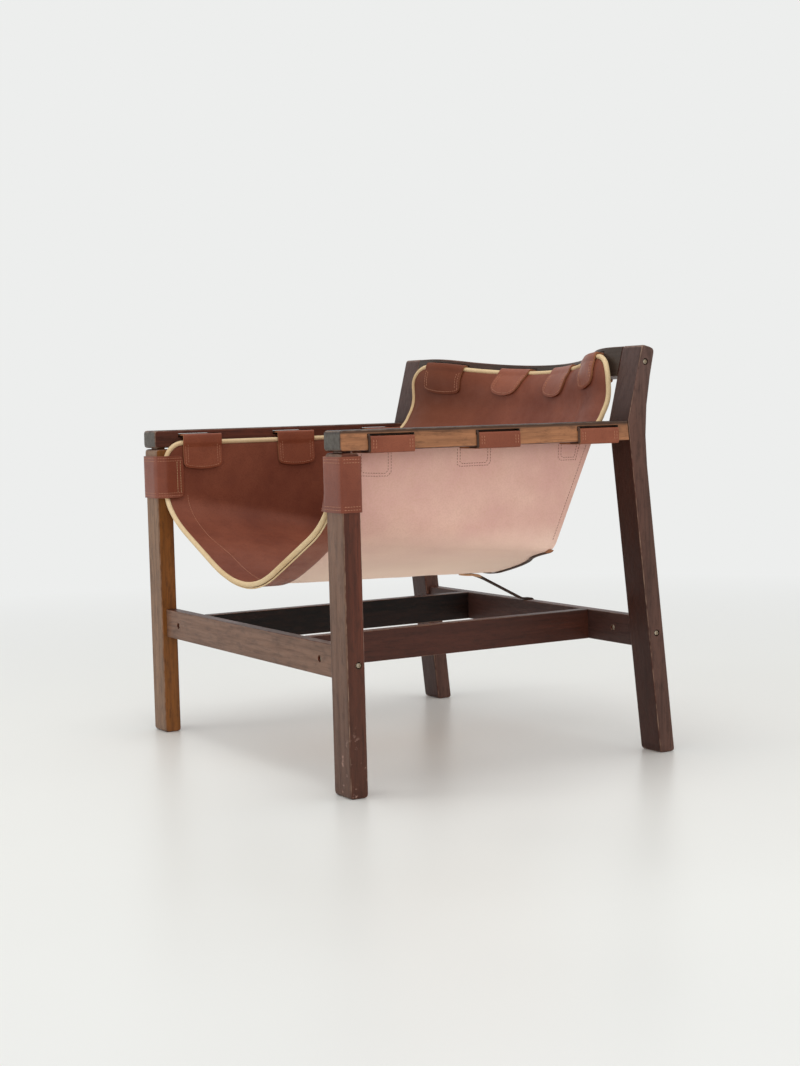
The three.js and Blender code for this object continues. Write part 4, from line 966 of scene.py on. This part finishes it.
# %% Seam strip
SIDES = {"left": 1, "right": -1}
STRIP_THICK = 2
STRIP_GAP = 0.4
STRIP_LIFT = -(SLING_THICK / 2 + STRIP_GAP + STRIP_THICK / 2)
STRIP_START, STRIP_END = 5, 12
STRIP_REACH = SLOPE_END + 0.02
FRAY_START = STRIP_REACH - 0.005
FRAY_REACH = 0.06
FRAY_DEPTH = 10
RAG_COUNT = 9
RAG_DEPTH = 3


def strip_place(u, v):
    along = 1 + (STRIP_START + (STRIP_END - STRIP_START) * v) / SEAT_LENGTH
    return on_seat((2 * u - 1) * STRIP_REACH, along, STRIP_LIFT)


seam_strip = leather_sheet(
    "seam_strip", shaped_grid(80, 3, strip_place), [dark_leather] * 3, STRIP_THICK)

for side_name, side in SIDES.items():
    def fray_place(u, v, side=side):
        ragged = noise.noise(Vector((RAG_COUNT * u, 0, 3))) * RAG_DEPTH * (1 - v)
        across = side * (FRAY_START + FRAY_REACH * (u if side > 0 else 1 - u))
        along = 1 + (STRIP_END - FRAY_DEPTH * (1 - v) + ragged) / SEAT_LENGTH
        return on_seat(across, along, STRIP_LIFT)

    leather_sheet(
        f"frayed_seam_{side_name}", shaped_grid(14, 8, fray_place),
        [edge_leather] * 3, STRIP_THICK)

# %% [markdown]
# ## Hem and piping
#
# A narrow strip is sewn under the seat's front edge to stiffen it, and a roll of cream leather
# is sewn along the free edges, so the sitter's legs and neck never meet a cut edge. The roll
# follows the edge's own points, moved outwards by its radius. Under the front roll a thin second
# bead shows, so it is drawn in the same way, below the hide.

# %% Hem and piping
HEM_WIDTH = 45
HEM_THICK = 2.2
HEM_GAP = 0.6
HEM_LIFT = -(SLING_THICK / 2 + HEM_GAP + HEM_THICK / 2)
PIPING_RADIUS = 4.2
SEAT_ROLL_OUT = PIPING_RADIUS + 0.2
BACK_ROLL_OUT = PIPING_RADIUS + 0.4
BEAD_RADIUS = 1.3
BEAD_LIFT = -5.8
BEAD_OUT = 1.5
BEAD_SKIP = 16
SIDE_STEPS, FRONT_STEPS = 60, 160
EDGE_STEPS, TOP_STEPS = 24, 120
RIM_END = 0.97
NECK_RISE = 0.57


def hem_place(u, v):
    return on_seat((2 * u - 1) * KNUCKLE_END, v * HEM_WIDTH / SEAT_LENGTH, HEM_LIFT)


front_hem = leather_sheet(
    "hem_strip", shaped_grid(90, 8, hem_place),
    [strap_leather, strap_leather, edge_leather], HEM_THICK, ["front_hem"])


def beside_edge(surface, trail, out):
    """Places beside a hide's edge, moved outwards within its surface. trail lists (u, v)."""
    places = [surface(u, v) for u, v in trail]
    ups = [surface(u, v, 1) - surface(u, v) for u, v in trail]
    beside = []
    for i, place in enumerate(places):
        run = places[min(i + 1, len(places) - 1)] - places[max(i - 1, 0)]
        beside.append(place + ups[i].cross(run).normalized() * out)
    return beside


def roll(name, places, radius, solids=()):
    """A round roll of leather along a line of places."""
    curve = bpy.data.curves.new(name, "CURVE")
    curve.dimensions = "3D"
    curve.bevel_depth = radius / 1000
    curve.bevel_resolution = 3
    curve.use_fill_caps = True
    spline = curve.splines.new("POLY")
    spline.points.add(len(places) - 1)
    for point, place in zip(spline.points, places):
        point.co = (*row(*place), 1)
    carrier = bpy.data.objects.new(name + "_line", curve)
    bpy.context.scene.collection.objects.link(carrier)
    bpy.context.view_layer.update()
    swept = carrier.evaluated_get(bpy.context.evaluated_depsgraph_get())
    shape = bmesh.new()
    shape.from_mesh(bpy.data.meshes.new_from_object(swept))
    bpy.data.objects.remove(carrier)
    bmesh.ops.remove_doubles(shape, verts=shape.verts, dist=MERGE_REACH)
    bmesh.ops.recalc_face_normals(shape, faces=shape.faces)
    return add_piece(name, shape, [piping_leather], solids)


def below_seat(u, v, lift=0):
    return on_seat(u, v, lift + BEAD_LIFT)


def there_and_back(side_trail, middle_trail):
    """A trail up one side, across the middle, and down the mirrored other side."""
    return side_trail + middle_trail + [(-u, v) for u, v in reversed(side_trail)]


rim_trail = [(1, RIM_END * (1 - i / SIDE_STEPS) ** 2) for i in range(SIDE_STEPS)]
front_trail = [(1 - 2 * i / FRONT_STEPS, 0) for i in range(FRONT_STEPS + 1)]
seat_edge = beside_edge(on_seat, there_and_back(rim_trail, front_trail), SEAT_ROLL_OUT)
seat_roll = roll("seat_roll", seat_edge, PIPING_RADIUS, ["seat_piping"])
bead_line = beside_edge(below_seat, front_trail[BEAD_SKIP:-BEAD_SKIP], BEAD_OUT)
seat_bead = roll("seat_bead", bead_line, BEAD_RADIUS)

edge_trail = [(-1, NECK_RISE + (1 - NECK_RISE) * i / EDGE_STEPS) for i in range(EDGE_STEPS)]
top_trail = [(-1 + 2 * i / TOP_STEPS, 1) for i in range(TOP_STEPS + 1)]
back_edge = beside_edge(on_panel, there_and_back(edge_trail, top_trail), BACK_ROLL_OUT)
back_roll = roll("back_roll", back_edge, PIPING_RADIUS, ["back_piping"])
print("rolls", len(seat_roll.data.polygons), "and", len(back_roll.data.polygons), "faces")

# %% [markdown]
# ## Strap loops
#
# A loop is one strap with its rounded tab sewn inside the hide. It climbs over the piping,
# passes through a slot in the wood, folds down the outer face and comes back underneath. The
# strap is drawn as a bent line in its own plane, and the plane is then set on the arm, on the
# bowed rail or around the front leg. Its corners are rounded, as thick leather bends.

# %% Strap helper
STRAP_THICK = 3.2
STRAP_WIDTH = 72
STRAP_COLUMNS = 24
ROW_PITCH = 6
BEND_POINTS = 5
BEND_ROOM = 2.1
TAB_REACH = 40
CUT_REACH = 50
ROLL_CLIMB = 7


class Strap:
    """A strap along a bent line. place(across, p, q) carries its plane into the chair."""

    def __init__(self, corners, place, width=STRAP_WIDTH, hand=1, bend=2, tab=(7, 5), trim=0):
        self.place = place
        self.width = width
        self.hand = hand
        self.tab_round, self.tab_bow = tab
        self.trim = trim
        self.line = self.soften([Vector(corner) for corner in corners], bend)
        self.marks = [0]
        for start, end in zip(self.line, self.line[1:]):
            self.marks.append(self.marks[-1] + (end - start).length)
        self.length = self.marks[-1]
        self.turns = self.marks[1 + BEND_POINTS // 2:-1:BEND_POINTS]

    def soften(self, corners, bend):
        """Rounds the corners of the strap's line, each by as much as its neighbours leave room for."""
        line = [corners[0]]
        for before, here, after in zip(corners, corners[1:], corners[2:]):
            room = min((before - here).length, (after - here).length) / BEND_ROOM
            reach = min(bend, room)
            enter = here + (before - here).normalized() * reach
            leave = here + (after - here).normalized() * reach
            for i in range(BEND_POINTS):
                line.append(soft_corner(enter, here, leave, i / (BEND_POINTS - 1)))
        line.append(corners[-1])
        return line

    def spot(self, across, along, lift=0):
        """A place on the strap, across its width and along it from the tab, in millimetres."""
        i = 0
        while i < len(self.line) - 2 and self.marks[i + 1] < along:
            i += 1
        run = (self.line[i + 1] - self.line[i]).normalized()
        place = self.line[i] + run * (along - self.marks[i])
        place += Vector((-run.y, run.x)) * lift * self.hand
        return Vector(self.place(across, place.x, place.y))

    def stations(self):
        """Distances along the strap where its grid has a row."""
        found = []
        for start, end in zip(self.marks, self.marks[1:]):
            steps = max(1, round((end - start) / ROW_PITCH))
            found += [start + (end - start) * i / steps for i in range(steps)]
        return found + [self.length]

    def tab_start(self, across):
        """How far along the strap its rounded tab begins, at a place across it."""
        short = max(abs(across) - self.width / 2 + self.tab_round, 0)
        rounded = self.tab_round - math.sqrt(max(self.tab_round ** 2 - short ** 2, 0))
        return rounded + self.tab_bow * (2 * across / self.width) ** 2

    def lane(self, across, along):
        """Draws in the side of a tab that is cut along a seam."""
        cut = abs(self.trim) * max(0, 1 - along / CUT_REACH)
        kept = math.copysign(self.width / 2, self.trim)
        return kept + (across - kept) * (1 - cut / self.width)

    def grid(self):
        rows = self.stations()

        def place(u, v):
            side = math.sin((u - 0.5) * math.pi) * self.width / 2
            along = rows[round(v * (len(rows) - 1))]
            along += self.tab_start(side) * max(0, 1 - along / TAB_REACH)
            return self.spot(self.lane(side, along), along)

        return shaped_grid(STRAP_COLUMNS, len(rows) - 1, place)


def loop_corners(sling_out, thick, height, slot, piping_drop, tab_drop, lean, tuck, gap):
    """A loop's bent line: depth from the beam's sling face, and height above the beam's top."""
    out = gap + STRAP_THICK / 2
    tab = -(sling_out + SLING_THICK / 2 + out)
    over = -(sling_out + PIPING_RADIUS + out)
    return [
        (tab - lean, -tab_drop), (tab - lean / 4, -piping_drop - ROLL_CLIMB), (over, -piping_drop),
        (over, slot), (thick + out, slot), (thick + out, -height - out),
        (-out, -height - out), (-out, -height + tuck),
    ]


STRAP_FINISHES = [strap_leather, strap_leather, edge_leather]
print("straps are", STRAP_WIDTH, "mm wide and", STRAP_THICK, "mm thick")

# %% [markdown]
# ## Arm loops
#
# Three loops hold each wall of the seat to its arm. The wall leans inwards, so each tab leans with
# it, as far as the wall does at the tab's foot. The rearmost tab is cut along the seam of the back.
# The loops of the right arm sit a little higher in their slots.

# %% Arm loops
ARM_LOOP_PLACES = (82.5, 264.25, 446)
ARM_WIDTH, ARM_HEIGHT = 50, 30
ARM_SLOTS = {1: -10.8, -1: -8.7}
ARM_PIPING_DROP = 22.7
ARM_TAB_DROP = 68
ARM_TUCK = 2.5
STRAP_GAP = 0.3
LAST_TAB_CUT = 22
WALL_STEPS = 14


def on_wall(y, z, side):
    """Where a place y and a height z lie on the seat's wall on one side, as (across, along)."""
    low, high = SLOPE_END, 1
    for _ in range(WALL_STEPS):
        middle = (low + high) / 2
        along = (y - SEAT_FRONT) / (seat_line(middle, side)[1].y - SEAT_FRONT)
        if bare_seat(side * middle, along).z < z:
            low = middle
        else:
            high = middle
    return side * low, along


def wall_x(y, z, side):
    return abs(bare_seat(*on_wall(y, z, side)).x)


straps = {}
for side_name, side in SIDES.items():
    for number, y in enumerate(ARM_LOOP_PLACES, 1):
        ends = (y - STRAP_WIDTH / 2, y + STRAP_WIDTH / 2)
        foot_x = min(wall_x(end, ARM_TOP - ARM_TAB_DROP, side) for end in ends)
        corners = loop_corners(
            SLING_GAP, ARM_WIDTH, ARM_HEIGHT, ARM_SLOTS[side], ARM_PIPING_DROP, ARM_TAB_DROP,
            SLING_X - foot_x + STRAP_GAP, ARM_TUCK, STRAP_GAP)
        trim = side * LAST_TAB_CUT if number == len(ARM_LOOP_PLACES) else 0

        def on_arm(across, depth, rise, side=side, y=y):
            return side * (INNER_HALF + depth), y - side * across, ARM_TOP + rise

        straps[f"arm_loop_{side_name}_{number}"] = Strap(corners, on_arm, trim=trim)
for name, strap in straps.items():
    leather_sheet(name + "_strap", strap.grid(), STRAP_FINISHES, STRAP_THICK, [name])
print("arm loops:", len(straps))

# %% [markdown]
# ## Painted shade in the slots
#
# The slots are a little larger than the loops. Above each loop of the left arm lies a strip of
# dark leather, and a narrow dark tail comes out beside the loop and folds round the arm. Both are
# painted shade: they darken the gaps in the slot and beside the loop. They are drawn as straps
# with nearly square ends, so they can share the loops' way of being made.

# %% Slot packing
SHADE_STRIP_THICK = 2
TAIL_WIDTH = 3
TAIL_GAP = 0.4
TAIL_OFFSET = STRAP_WIDTH / 2 + TAIL_GAP + TAIL_WIDTH / 2
TAIL_OUTSIDE, TAIL_BELOW = ARM_WIDTH + 1.3, -(ARM_HEIGHT + 1.4)
SHADE_STRIP_RISE = -7.6
SHADE_STRIP_LINE = ((40, SHADE_STRIP_RISE), (5, SHADE_STRIP_RISE))
TAIL_LINE = (
    (40, SHADE_STRIP_RISE), (TAIL_OUTSIDE, SHADE_STRIP_RISE), (TAIL_OUTSIDE, TAIL_BELOW), (30, TAIL_BELOW),
)
SQUARE_TAB = (1, 0)

# Dark strips above and beside each left loop: painted shade in the slot gaps.
for number, y in enumerate(ARM_LOOP_PLACES, 1):
    for part, middle, width, line in (
        ("packing", y, STRAP_WIDTH, SHADE_STRIP_LINE),
        ("tail", y - TAIL_OFFSET, TAIL_WIDTH, TAIL_LINE),
    ):
        def beside_loop(across, depth, rise, middle=middle):
            return INNER_HALF + depth, middle - across, ARM_TOP + rise

        filling = Strap(line, beside_loop, width, tab=SQUARE_TAB)
        leather_sheet(
            f"slot_{part}_{number}", filling.grid(), [dark_leather] * 3, SHADE_STRIP_THICK)
print("packing and tails:", 2 * len(ARM_LOOP_PLACES))

# %% [markdown]
# ## Back loops
#
# Four loops hang the back from its rail, with dark strips above them in the slots as painted
# shade in the slot mouths. The two middle tabs hang askew, and one of them is shorter. The first
# tab, at the far end, is cut squarer and takes the back hide's painted shade. The tabs follow the
# hide's own surface below the rail.

# %% Back loops
BACK_LOOP_PITCH = 148
BACK_LOOP_COUNT = 4
RAIL_THICK, RAIL_HEIGHT = 22, 48
BACK_SLOT = -11.1
BACK_TUCK = 12
BACK_STRAP_GAP = 0.5
BACK_TAB_DROPS = {1: 66, 2: 61, 3: 66, 4: 66}
BACK_TAB_DRIFTS = {1: 0, 2: -10, 3: -6, 4: 0}
DRIFT_REACH = 45
FIRST_TAB, OTHER_TAB = (8, 6), (13, 9)
BACK_SHADE_STRIP_LINE = ((0.6, -7.8), (14, -7.8))

for number in range(1, BACK_LOOP_COUNT + 1):
    middle = (number - (BACK_LOOP_COUNT + 1) / 2) * BACK_LOOP_PITCH
    corners = loop_corners(
        BACK_OUT, RAIL_THICK, RAIL_HEIGHT, BACK_SLOT, BACK_PIPING_DROP, BACK_TAB_DROPS[number],
        0, BACK_TUCK, BACK_STRAP_GAP)

    def on_back_rail(across, depth, rise, x=middle, drift=BACK_TAB_DRIFTS[number]):
        if depth >= 0:
            return on_rail(x + across, depth, rise)
        askew = x + across + drift * fade(-rise - BACK_PIPING_DROP, DRIFT_REACH)
        return on_rail(askew, depth, rise) + on_back(askew, -rise) - on_rail(askew, -BACK_OUT, rise)

    # The first tab takes the back hide's colour, with its painted shade at the far end.
    tab, face = (FIRST_TAB, back_leather_painted_shade) if number == 1 else (OTHER_TAB, strap_leather)
    strap = Strap(corners, on_back_rail, tab=tab)
    name = f"back_loop_{number}"
    straps[name] = strap
    leather_sheet(
        name + "_strap", strap.grid(),
        [face, strap_leather, edge_leather], STRAP_THICK, [name])
    # A dark strip in the slot above each loop: painted shade.
    packing = Strap(BACK_SHADE_STRIP_LINE, on_back_rail, tab=SQUARE_TAB)
    leather_sheet(
        f"back_packing_{number}", packing.grid(), [dark_leather] * 3, SHADE_STRIP_THICK)
print("loops so far:", len(straps))

# %% [markdown]
# ## Leg bands
#
# A wide band holds each front corner of the seat. It starts as a tab on the inside of the wall,
# climbs over the piping, and goes round the front leg. Where it is sewn to the wall it leans
# inwards with it, so its line is moved by the wall's own lean there.

# %% Leg bands
LEG_WIDTH, LEG_DEPTH = 50, 29
BAND_MIDDLES = {1: 446.5, -1: 443}
BAND_WIDTHS = {1: 79, -1: STRAP_WIDTH}
BAND_BEND = 7
BAND_TAB = (8, 1)
BAND_OUT = STRAP_GAP + STRAP_THICK / 2
BAND_TAB_X, BAND_ROLL_X = 296.9, 295.4
LEG_INSIDE, LEG_OUTSIDE = INNER_HALF - BAND_OUT, INNER_HALF + LEG_WIDTH + BAND_OUT
LEG_BEFORE, LEG_BEHIND = -BAND_OUT, LEG_DEPTH + BAND_OUT
BAND_LINE = (
    (BAND_TAB_X, 45), (BAND_TAB_X, 29.5), (BAND_ROLL_X, 18.7), (BAND_ROLL_X, 11.7),
    (LEG_INSIDE, LEG_BEFORE), (LEG_OUTSIDE, LEG_BEFORE), (LEG_OUTSIDE, LEG_BEHIND),
    (LEG_INSIDE, LEG_BEHIND), (LEG_INSIDE, LEG_BEHIND - 5),
)
SEWN_START, SEWN_REACH = -2, 8

for side_name, side in SIDES.items():
    corners = [(side * x, y) for x, y in BAND_LINE]

    def around_leg(across, x, y, side=side):
        z = BAND_MIDDLES[side] - side * across
        sewn_in = fade(INNER_HALF - abs(x), SEWN_REACH) * fade(y - SEWN_START, SEWN_REACH)
        if sewn_in > 0:
            x -= side * sewn_in * (SLING_X - wall_x(max(y, SEAT_FRONT), z, side))
        return x, y, z

    name = f"leg_band_{side_name}"
    strap = Strap(corners, around_leg, BAND_WIDTHS[side], hand=-side, bend=BAND_BEND, tab=BAND_TAB)
    straps[name] = strap
    leather_sheet(
        name + "_strap", strap.grid(),
        [band_leather, strap_leather, edge_leather], STRAP_THICK, [name])
print("leg bands round legs of", LEG_WIDTH, "by", LEG_DEPTH, "mm")

# %% [markdown]
# ## Tie strap
#
# A strap under the seat's rear end pulls the sling down to the rear stretcher. It is a wide pale
# tab where it is sewn on and a dark narrow thong behind that, so one strap gets a taper and a dye
# that changes along the chair.

# %% Tie strap
TIE_WIDTH = 38
TIE_THICK = 3
TIE_BEND = 8
TIE_TAPER = 0.72
TAPER_START, TAPER_REACH = 10, 40
TIE_TAB_LENGTH = 30
TIE_DYE_REACH = 0.006
TIE_DYES = ((196, 152, 116), (212, 172, 136), (160, 116, 84))
TIE_SEWN = 44
TIE_LEVEL = 21.3
TIE_UNDER, SEAM_UNDER = 3.85, 12.55
STRETCHER_BACK, STRETCHER_DEPTH = 561.5, 20
TIE_OVER, TIE_TURN, TIE_END = 216.6, 216.3, 184.5
TIE_OUT = 1.8

seam_foot = seat_line(0)[1]
sewn = bare_seat(0, 1 - TIE_SEWN / SEAT_LENGTH)
tie_corners = [
    (sewn.y, sewn.z - TIE_UNDER), (sewn.y + TIE_LEVEL, sewn.z - TIE_UNDER),
    (seam_foot.y, seam_foot.z - SEAM_UNDER), (STRETCHER_BACK - STRETCHER_DEPTH, TIE_OVER),
    (STRETCHER_BACK + TIE_OUT, TIE_TURN), (STRETCHER_BACK + TIE_OUT, TIE_END),
]


def along_tie(across, y, z):
    """The strap is a wide tab under the seat and narrows to a thong behind it."""
    return across * (1 - TIE_TAPER * fade(y - sewn.y - TAPER_START, TAPER_REACH)), y, z


tab_end = row(0, sewn.y + TIE_TAB_LENGTH, 0).y
tie_leather = fade_dye_and_painted_light(
    leather("tie_leather", TIE_DYES, 0.6, 0.2), "Y", tab_end, tab_end + TIE_DYE_REACH, srgb(58, 42, 34), 1)
straps["tie_strap"] = Strap(tie_corners, along_tie, TIE_WIDTH, bend=TIE_BEND)
leather_sheet(
    "tie_band", straps["tie_strap"].grid(), [tie_leather] * 3, TIE_THICK, ["tie_strap"])
print("straps in all:", len(straps))

# %% [markdown]
# ## Stitching
#
# The loops' tabs are sewn down with waxed thread, in double rows at their sides. Each stitch is a
# small rounded bead of thread laid on the leather, so it catches light and throws a shadow of its
# own. A row is walked along a surface, and a bead is set down at every pitch.

# %% Stitch helper
STITCH_PITCH = 4.5
STITCH_LENGTH = 3.8
THREAD = 0.9
TRAIL_STEPS = 10


def between(start, end, steps):
    """Surface places (u, v) from start up to, but without, end."""
    (u0, v0), (u1, v1) = start, end
    return [(u0 + (u1 - u0) * i / steps, v0 + (v1 - v0) * i / steps) for i in range(steps)]


def sew(name, rows, finish):
    """Beads of thread along rows. Each row is (surface, corners, lift), corners listing (u, v)."""
    shape = bmesh.new()
    for surface, corners, lift in rows:
        trail = []
        for start, end in zip(corners, corners[1:]):
            trail += between(start, end, TRAIL_STEPS)
        trail.append(corners[-1])
        places = [surface(u, v, lift) for u, v in trail]
        walked, due = 0, STITCH_PITCH / 2
        for i in range(len(places) - 1):
            run = places[i + 1] - places[i]
            while run.length > 0 and due <= walked + run.length:
                middle = places[i] + run.normalized() * (due - walked)
                rise = surface(*trail[i], lift + 1) - surface(*trail[i], lift)
                ahead = run.normalized()
                beside = rise.cross(ahead).normalized()
                axes = Matrix((ahead, beside, ahead.cross(beside))).transposed().to_4x4()
                size = Matrix.Diagonal((STITCH_LENGTH / 2000, THREAD / 2000, THREAD / 2000, 1))
                spot = Matrix.Translation(row(*middle)) @ axes @ size
                bmesh.ops.create_uvsphere(shape, u_segments=6, v_segments=4, radius=1, matrix=spot)
                due += STITCH_PITCH
            walked += run.length
    return add_piece(name, shape, [finish])


print("a stitch is", STITCH_LENGTH, "mm long, every", STITCH_PITCH, "mm")

# %% [markdown]
# ## Stitches on the straps
#
# Tabs are sewn down both sides and along the foot, and the faces that go round the wood along
# both edges. The thread is tan, apart from the cream rows across the ends of the leg bands. Each
# row is a few corners on the strap's own surface, so it follows every bend of the strap.

# %% Stitches on the straps
STRAP_LIFT = STRAP_THICK / 2 + SEWN_GAP
DOUBLE_ROW = (4, 8.5)
ARM_TAB_TOP, BACK_TAB_TOP = 42, 40
BAND_END_ROWS = (6, 12)
TURN_MARGIN = 2
TURN_LEAD = 3
FOOT_STEPS, TAB_STEPS = 6, 4
OUTER_TURN = 3


def tab_rows(strap, top):
    """Double rows down both sides of a tab, and one row along its foot."""
    rows = []
    for inset in DOUBLE_ROW:
        reach = strap.width / 2 - inset
        for lane in (-reach, reach):
            low = strap.tab_start(lane) + inset
            climbs = [low + (top - low) * k / TAB_STEPS for k in range(TAB_STEPS + 1)]
            rows.append((strap.spot, [(strap.lane(lane, climb), climb) for climb in climbs], STRAP_LIFT))
        if inset == DOUBLE_ROW[0]:
            lanes = [reach * k / FOOT_STEPS for k in range(-FOOT_STEPS, FOOT_STEPS + 1)]
            foot = [(strap.lane(lane, inset), strap.tab_start(lane) + inset) for lane in lanes]
            rows.append((strap.spot, foot, STRAP_LIFT))
    return rows


def face_rows(strap, start, end):
    """Double rows along both edges of a strap's outer face."""
    lanes = [side * (strap.width / 2 - inset) for inset in DOUBLE_ROW for side in (-1, 1)]
    return [(strap.spot, [(lane, start), (lane, end)], STRAP_LIFT) for lane in lanes]


for name, strap in straps.items():
    if name.startswith(("arm_loop", "back_loop")):
        top = ARM_TAB_TOP if name.startswith("arm_loop") else BACK_TAB_TOP
        outer_start, outer_end = strap.turns[OUTER_TURN:OUTER_TURN + 2]
        rows = tab_rows(strap, top)
        rows += face_rows(strap, outer_start + TURN_LEAD, outer_end - TURN_MARGIN)
    elif name.startswith("leg_band"):
        stops = [TURN_LEAD - TURN_MARGIN, *strap.turns[OUTER_TURN:OUTER_TURN + 3]]
        rows = []
        for start, end in zip(stops, stops[1:]):
            rows += face_rows(strap, start + TURN_MARGIN, end - TURN_MARGIN)
        reach = strap.width / 2 - DOUBLE_ROW[1]
        ends = [(strap.spot, [(-reach, inset), (reach, inset)], STRAP_LIFT) for inset in BAND_END_ROWS]
        sew(name + "_end_stitches", ends, cream_thread)
    else:
        continue
    sew(name + "_stitches", rows, tan_thread)

# %% [markdown]
# ## Stitches on the hides
#
# The hem shows inside the seat as one tan row along its front. Outside, the tabs' stitches come
# through the walls as fine brown double outlines, and a row runs up each end of the rear seam. The
# outlines are given by a few places on the wall, in millimetres from the front and the floor.

# %% Stitches on the hides
HIDE_LIFT = SLING_THICK / 2 + SEWN_GAP
HEM_ROW = 38
HEM_STEPS = 30
SEAM_STEPS = 8
TAB_OUTLINES = (
    ((57, 488), (57, 460), (62, 456), (106, 454), (112, 459), (112, 488)),
    ((62, 488), (62, 463), (66, 460), (102, 458), (107, 462), (107, 488)),
    ((226, 490), (226, 466), (231, 463), (280, 463), (285, 467), (285, 490)),
    ((231, 490), (231, 470), (235, 467), (276, 467), (280, 471), (280, 490)),
    ((410, 490), (410, 468), (415, 465), (443, 465), (450, 490)),
    ((415, 490), (415, 472), (419, 469), (440, 469), (445, 490)),
)


def outside_seat(u, v, lift):
    return on_seat(u, v, -lift)


hem_line = [(KNUCKLE_END * k / HEM_STEPS, HEM_ROW / SEAT_LENGTH) for k in range(-HEM_STEPS, HEM_STEPS + 1)]
sew("hem_stitches", [(on_seat, hem_line, HIDE_LIFT)], tan_thread)
for side_name, side in SIDES.items():
    lines = [[on_wall(y, z, side) for y, z in corners] for corners in TAB_OUTLINES]
    climbs = [KNUCKLE_END + (1 - KNUCKLE_END) * k / SEAM_STEPS for k in range(SEAM_STEPS + 1)]
    lines.append([(side * climb, 1) for climb in climbs])
    rows = [(outside_seat, line, HIDE_LIFT) for line in lines]
    sew(f"wall_stitches_{side_name}", rows, brown_thread)

# %% [markdown]
# ## The view transform
#
# The render shows each colour as it is written, through the Standard view transform.

bpy.context.scene.view_settings.view_transform = "Standard"
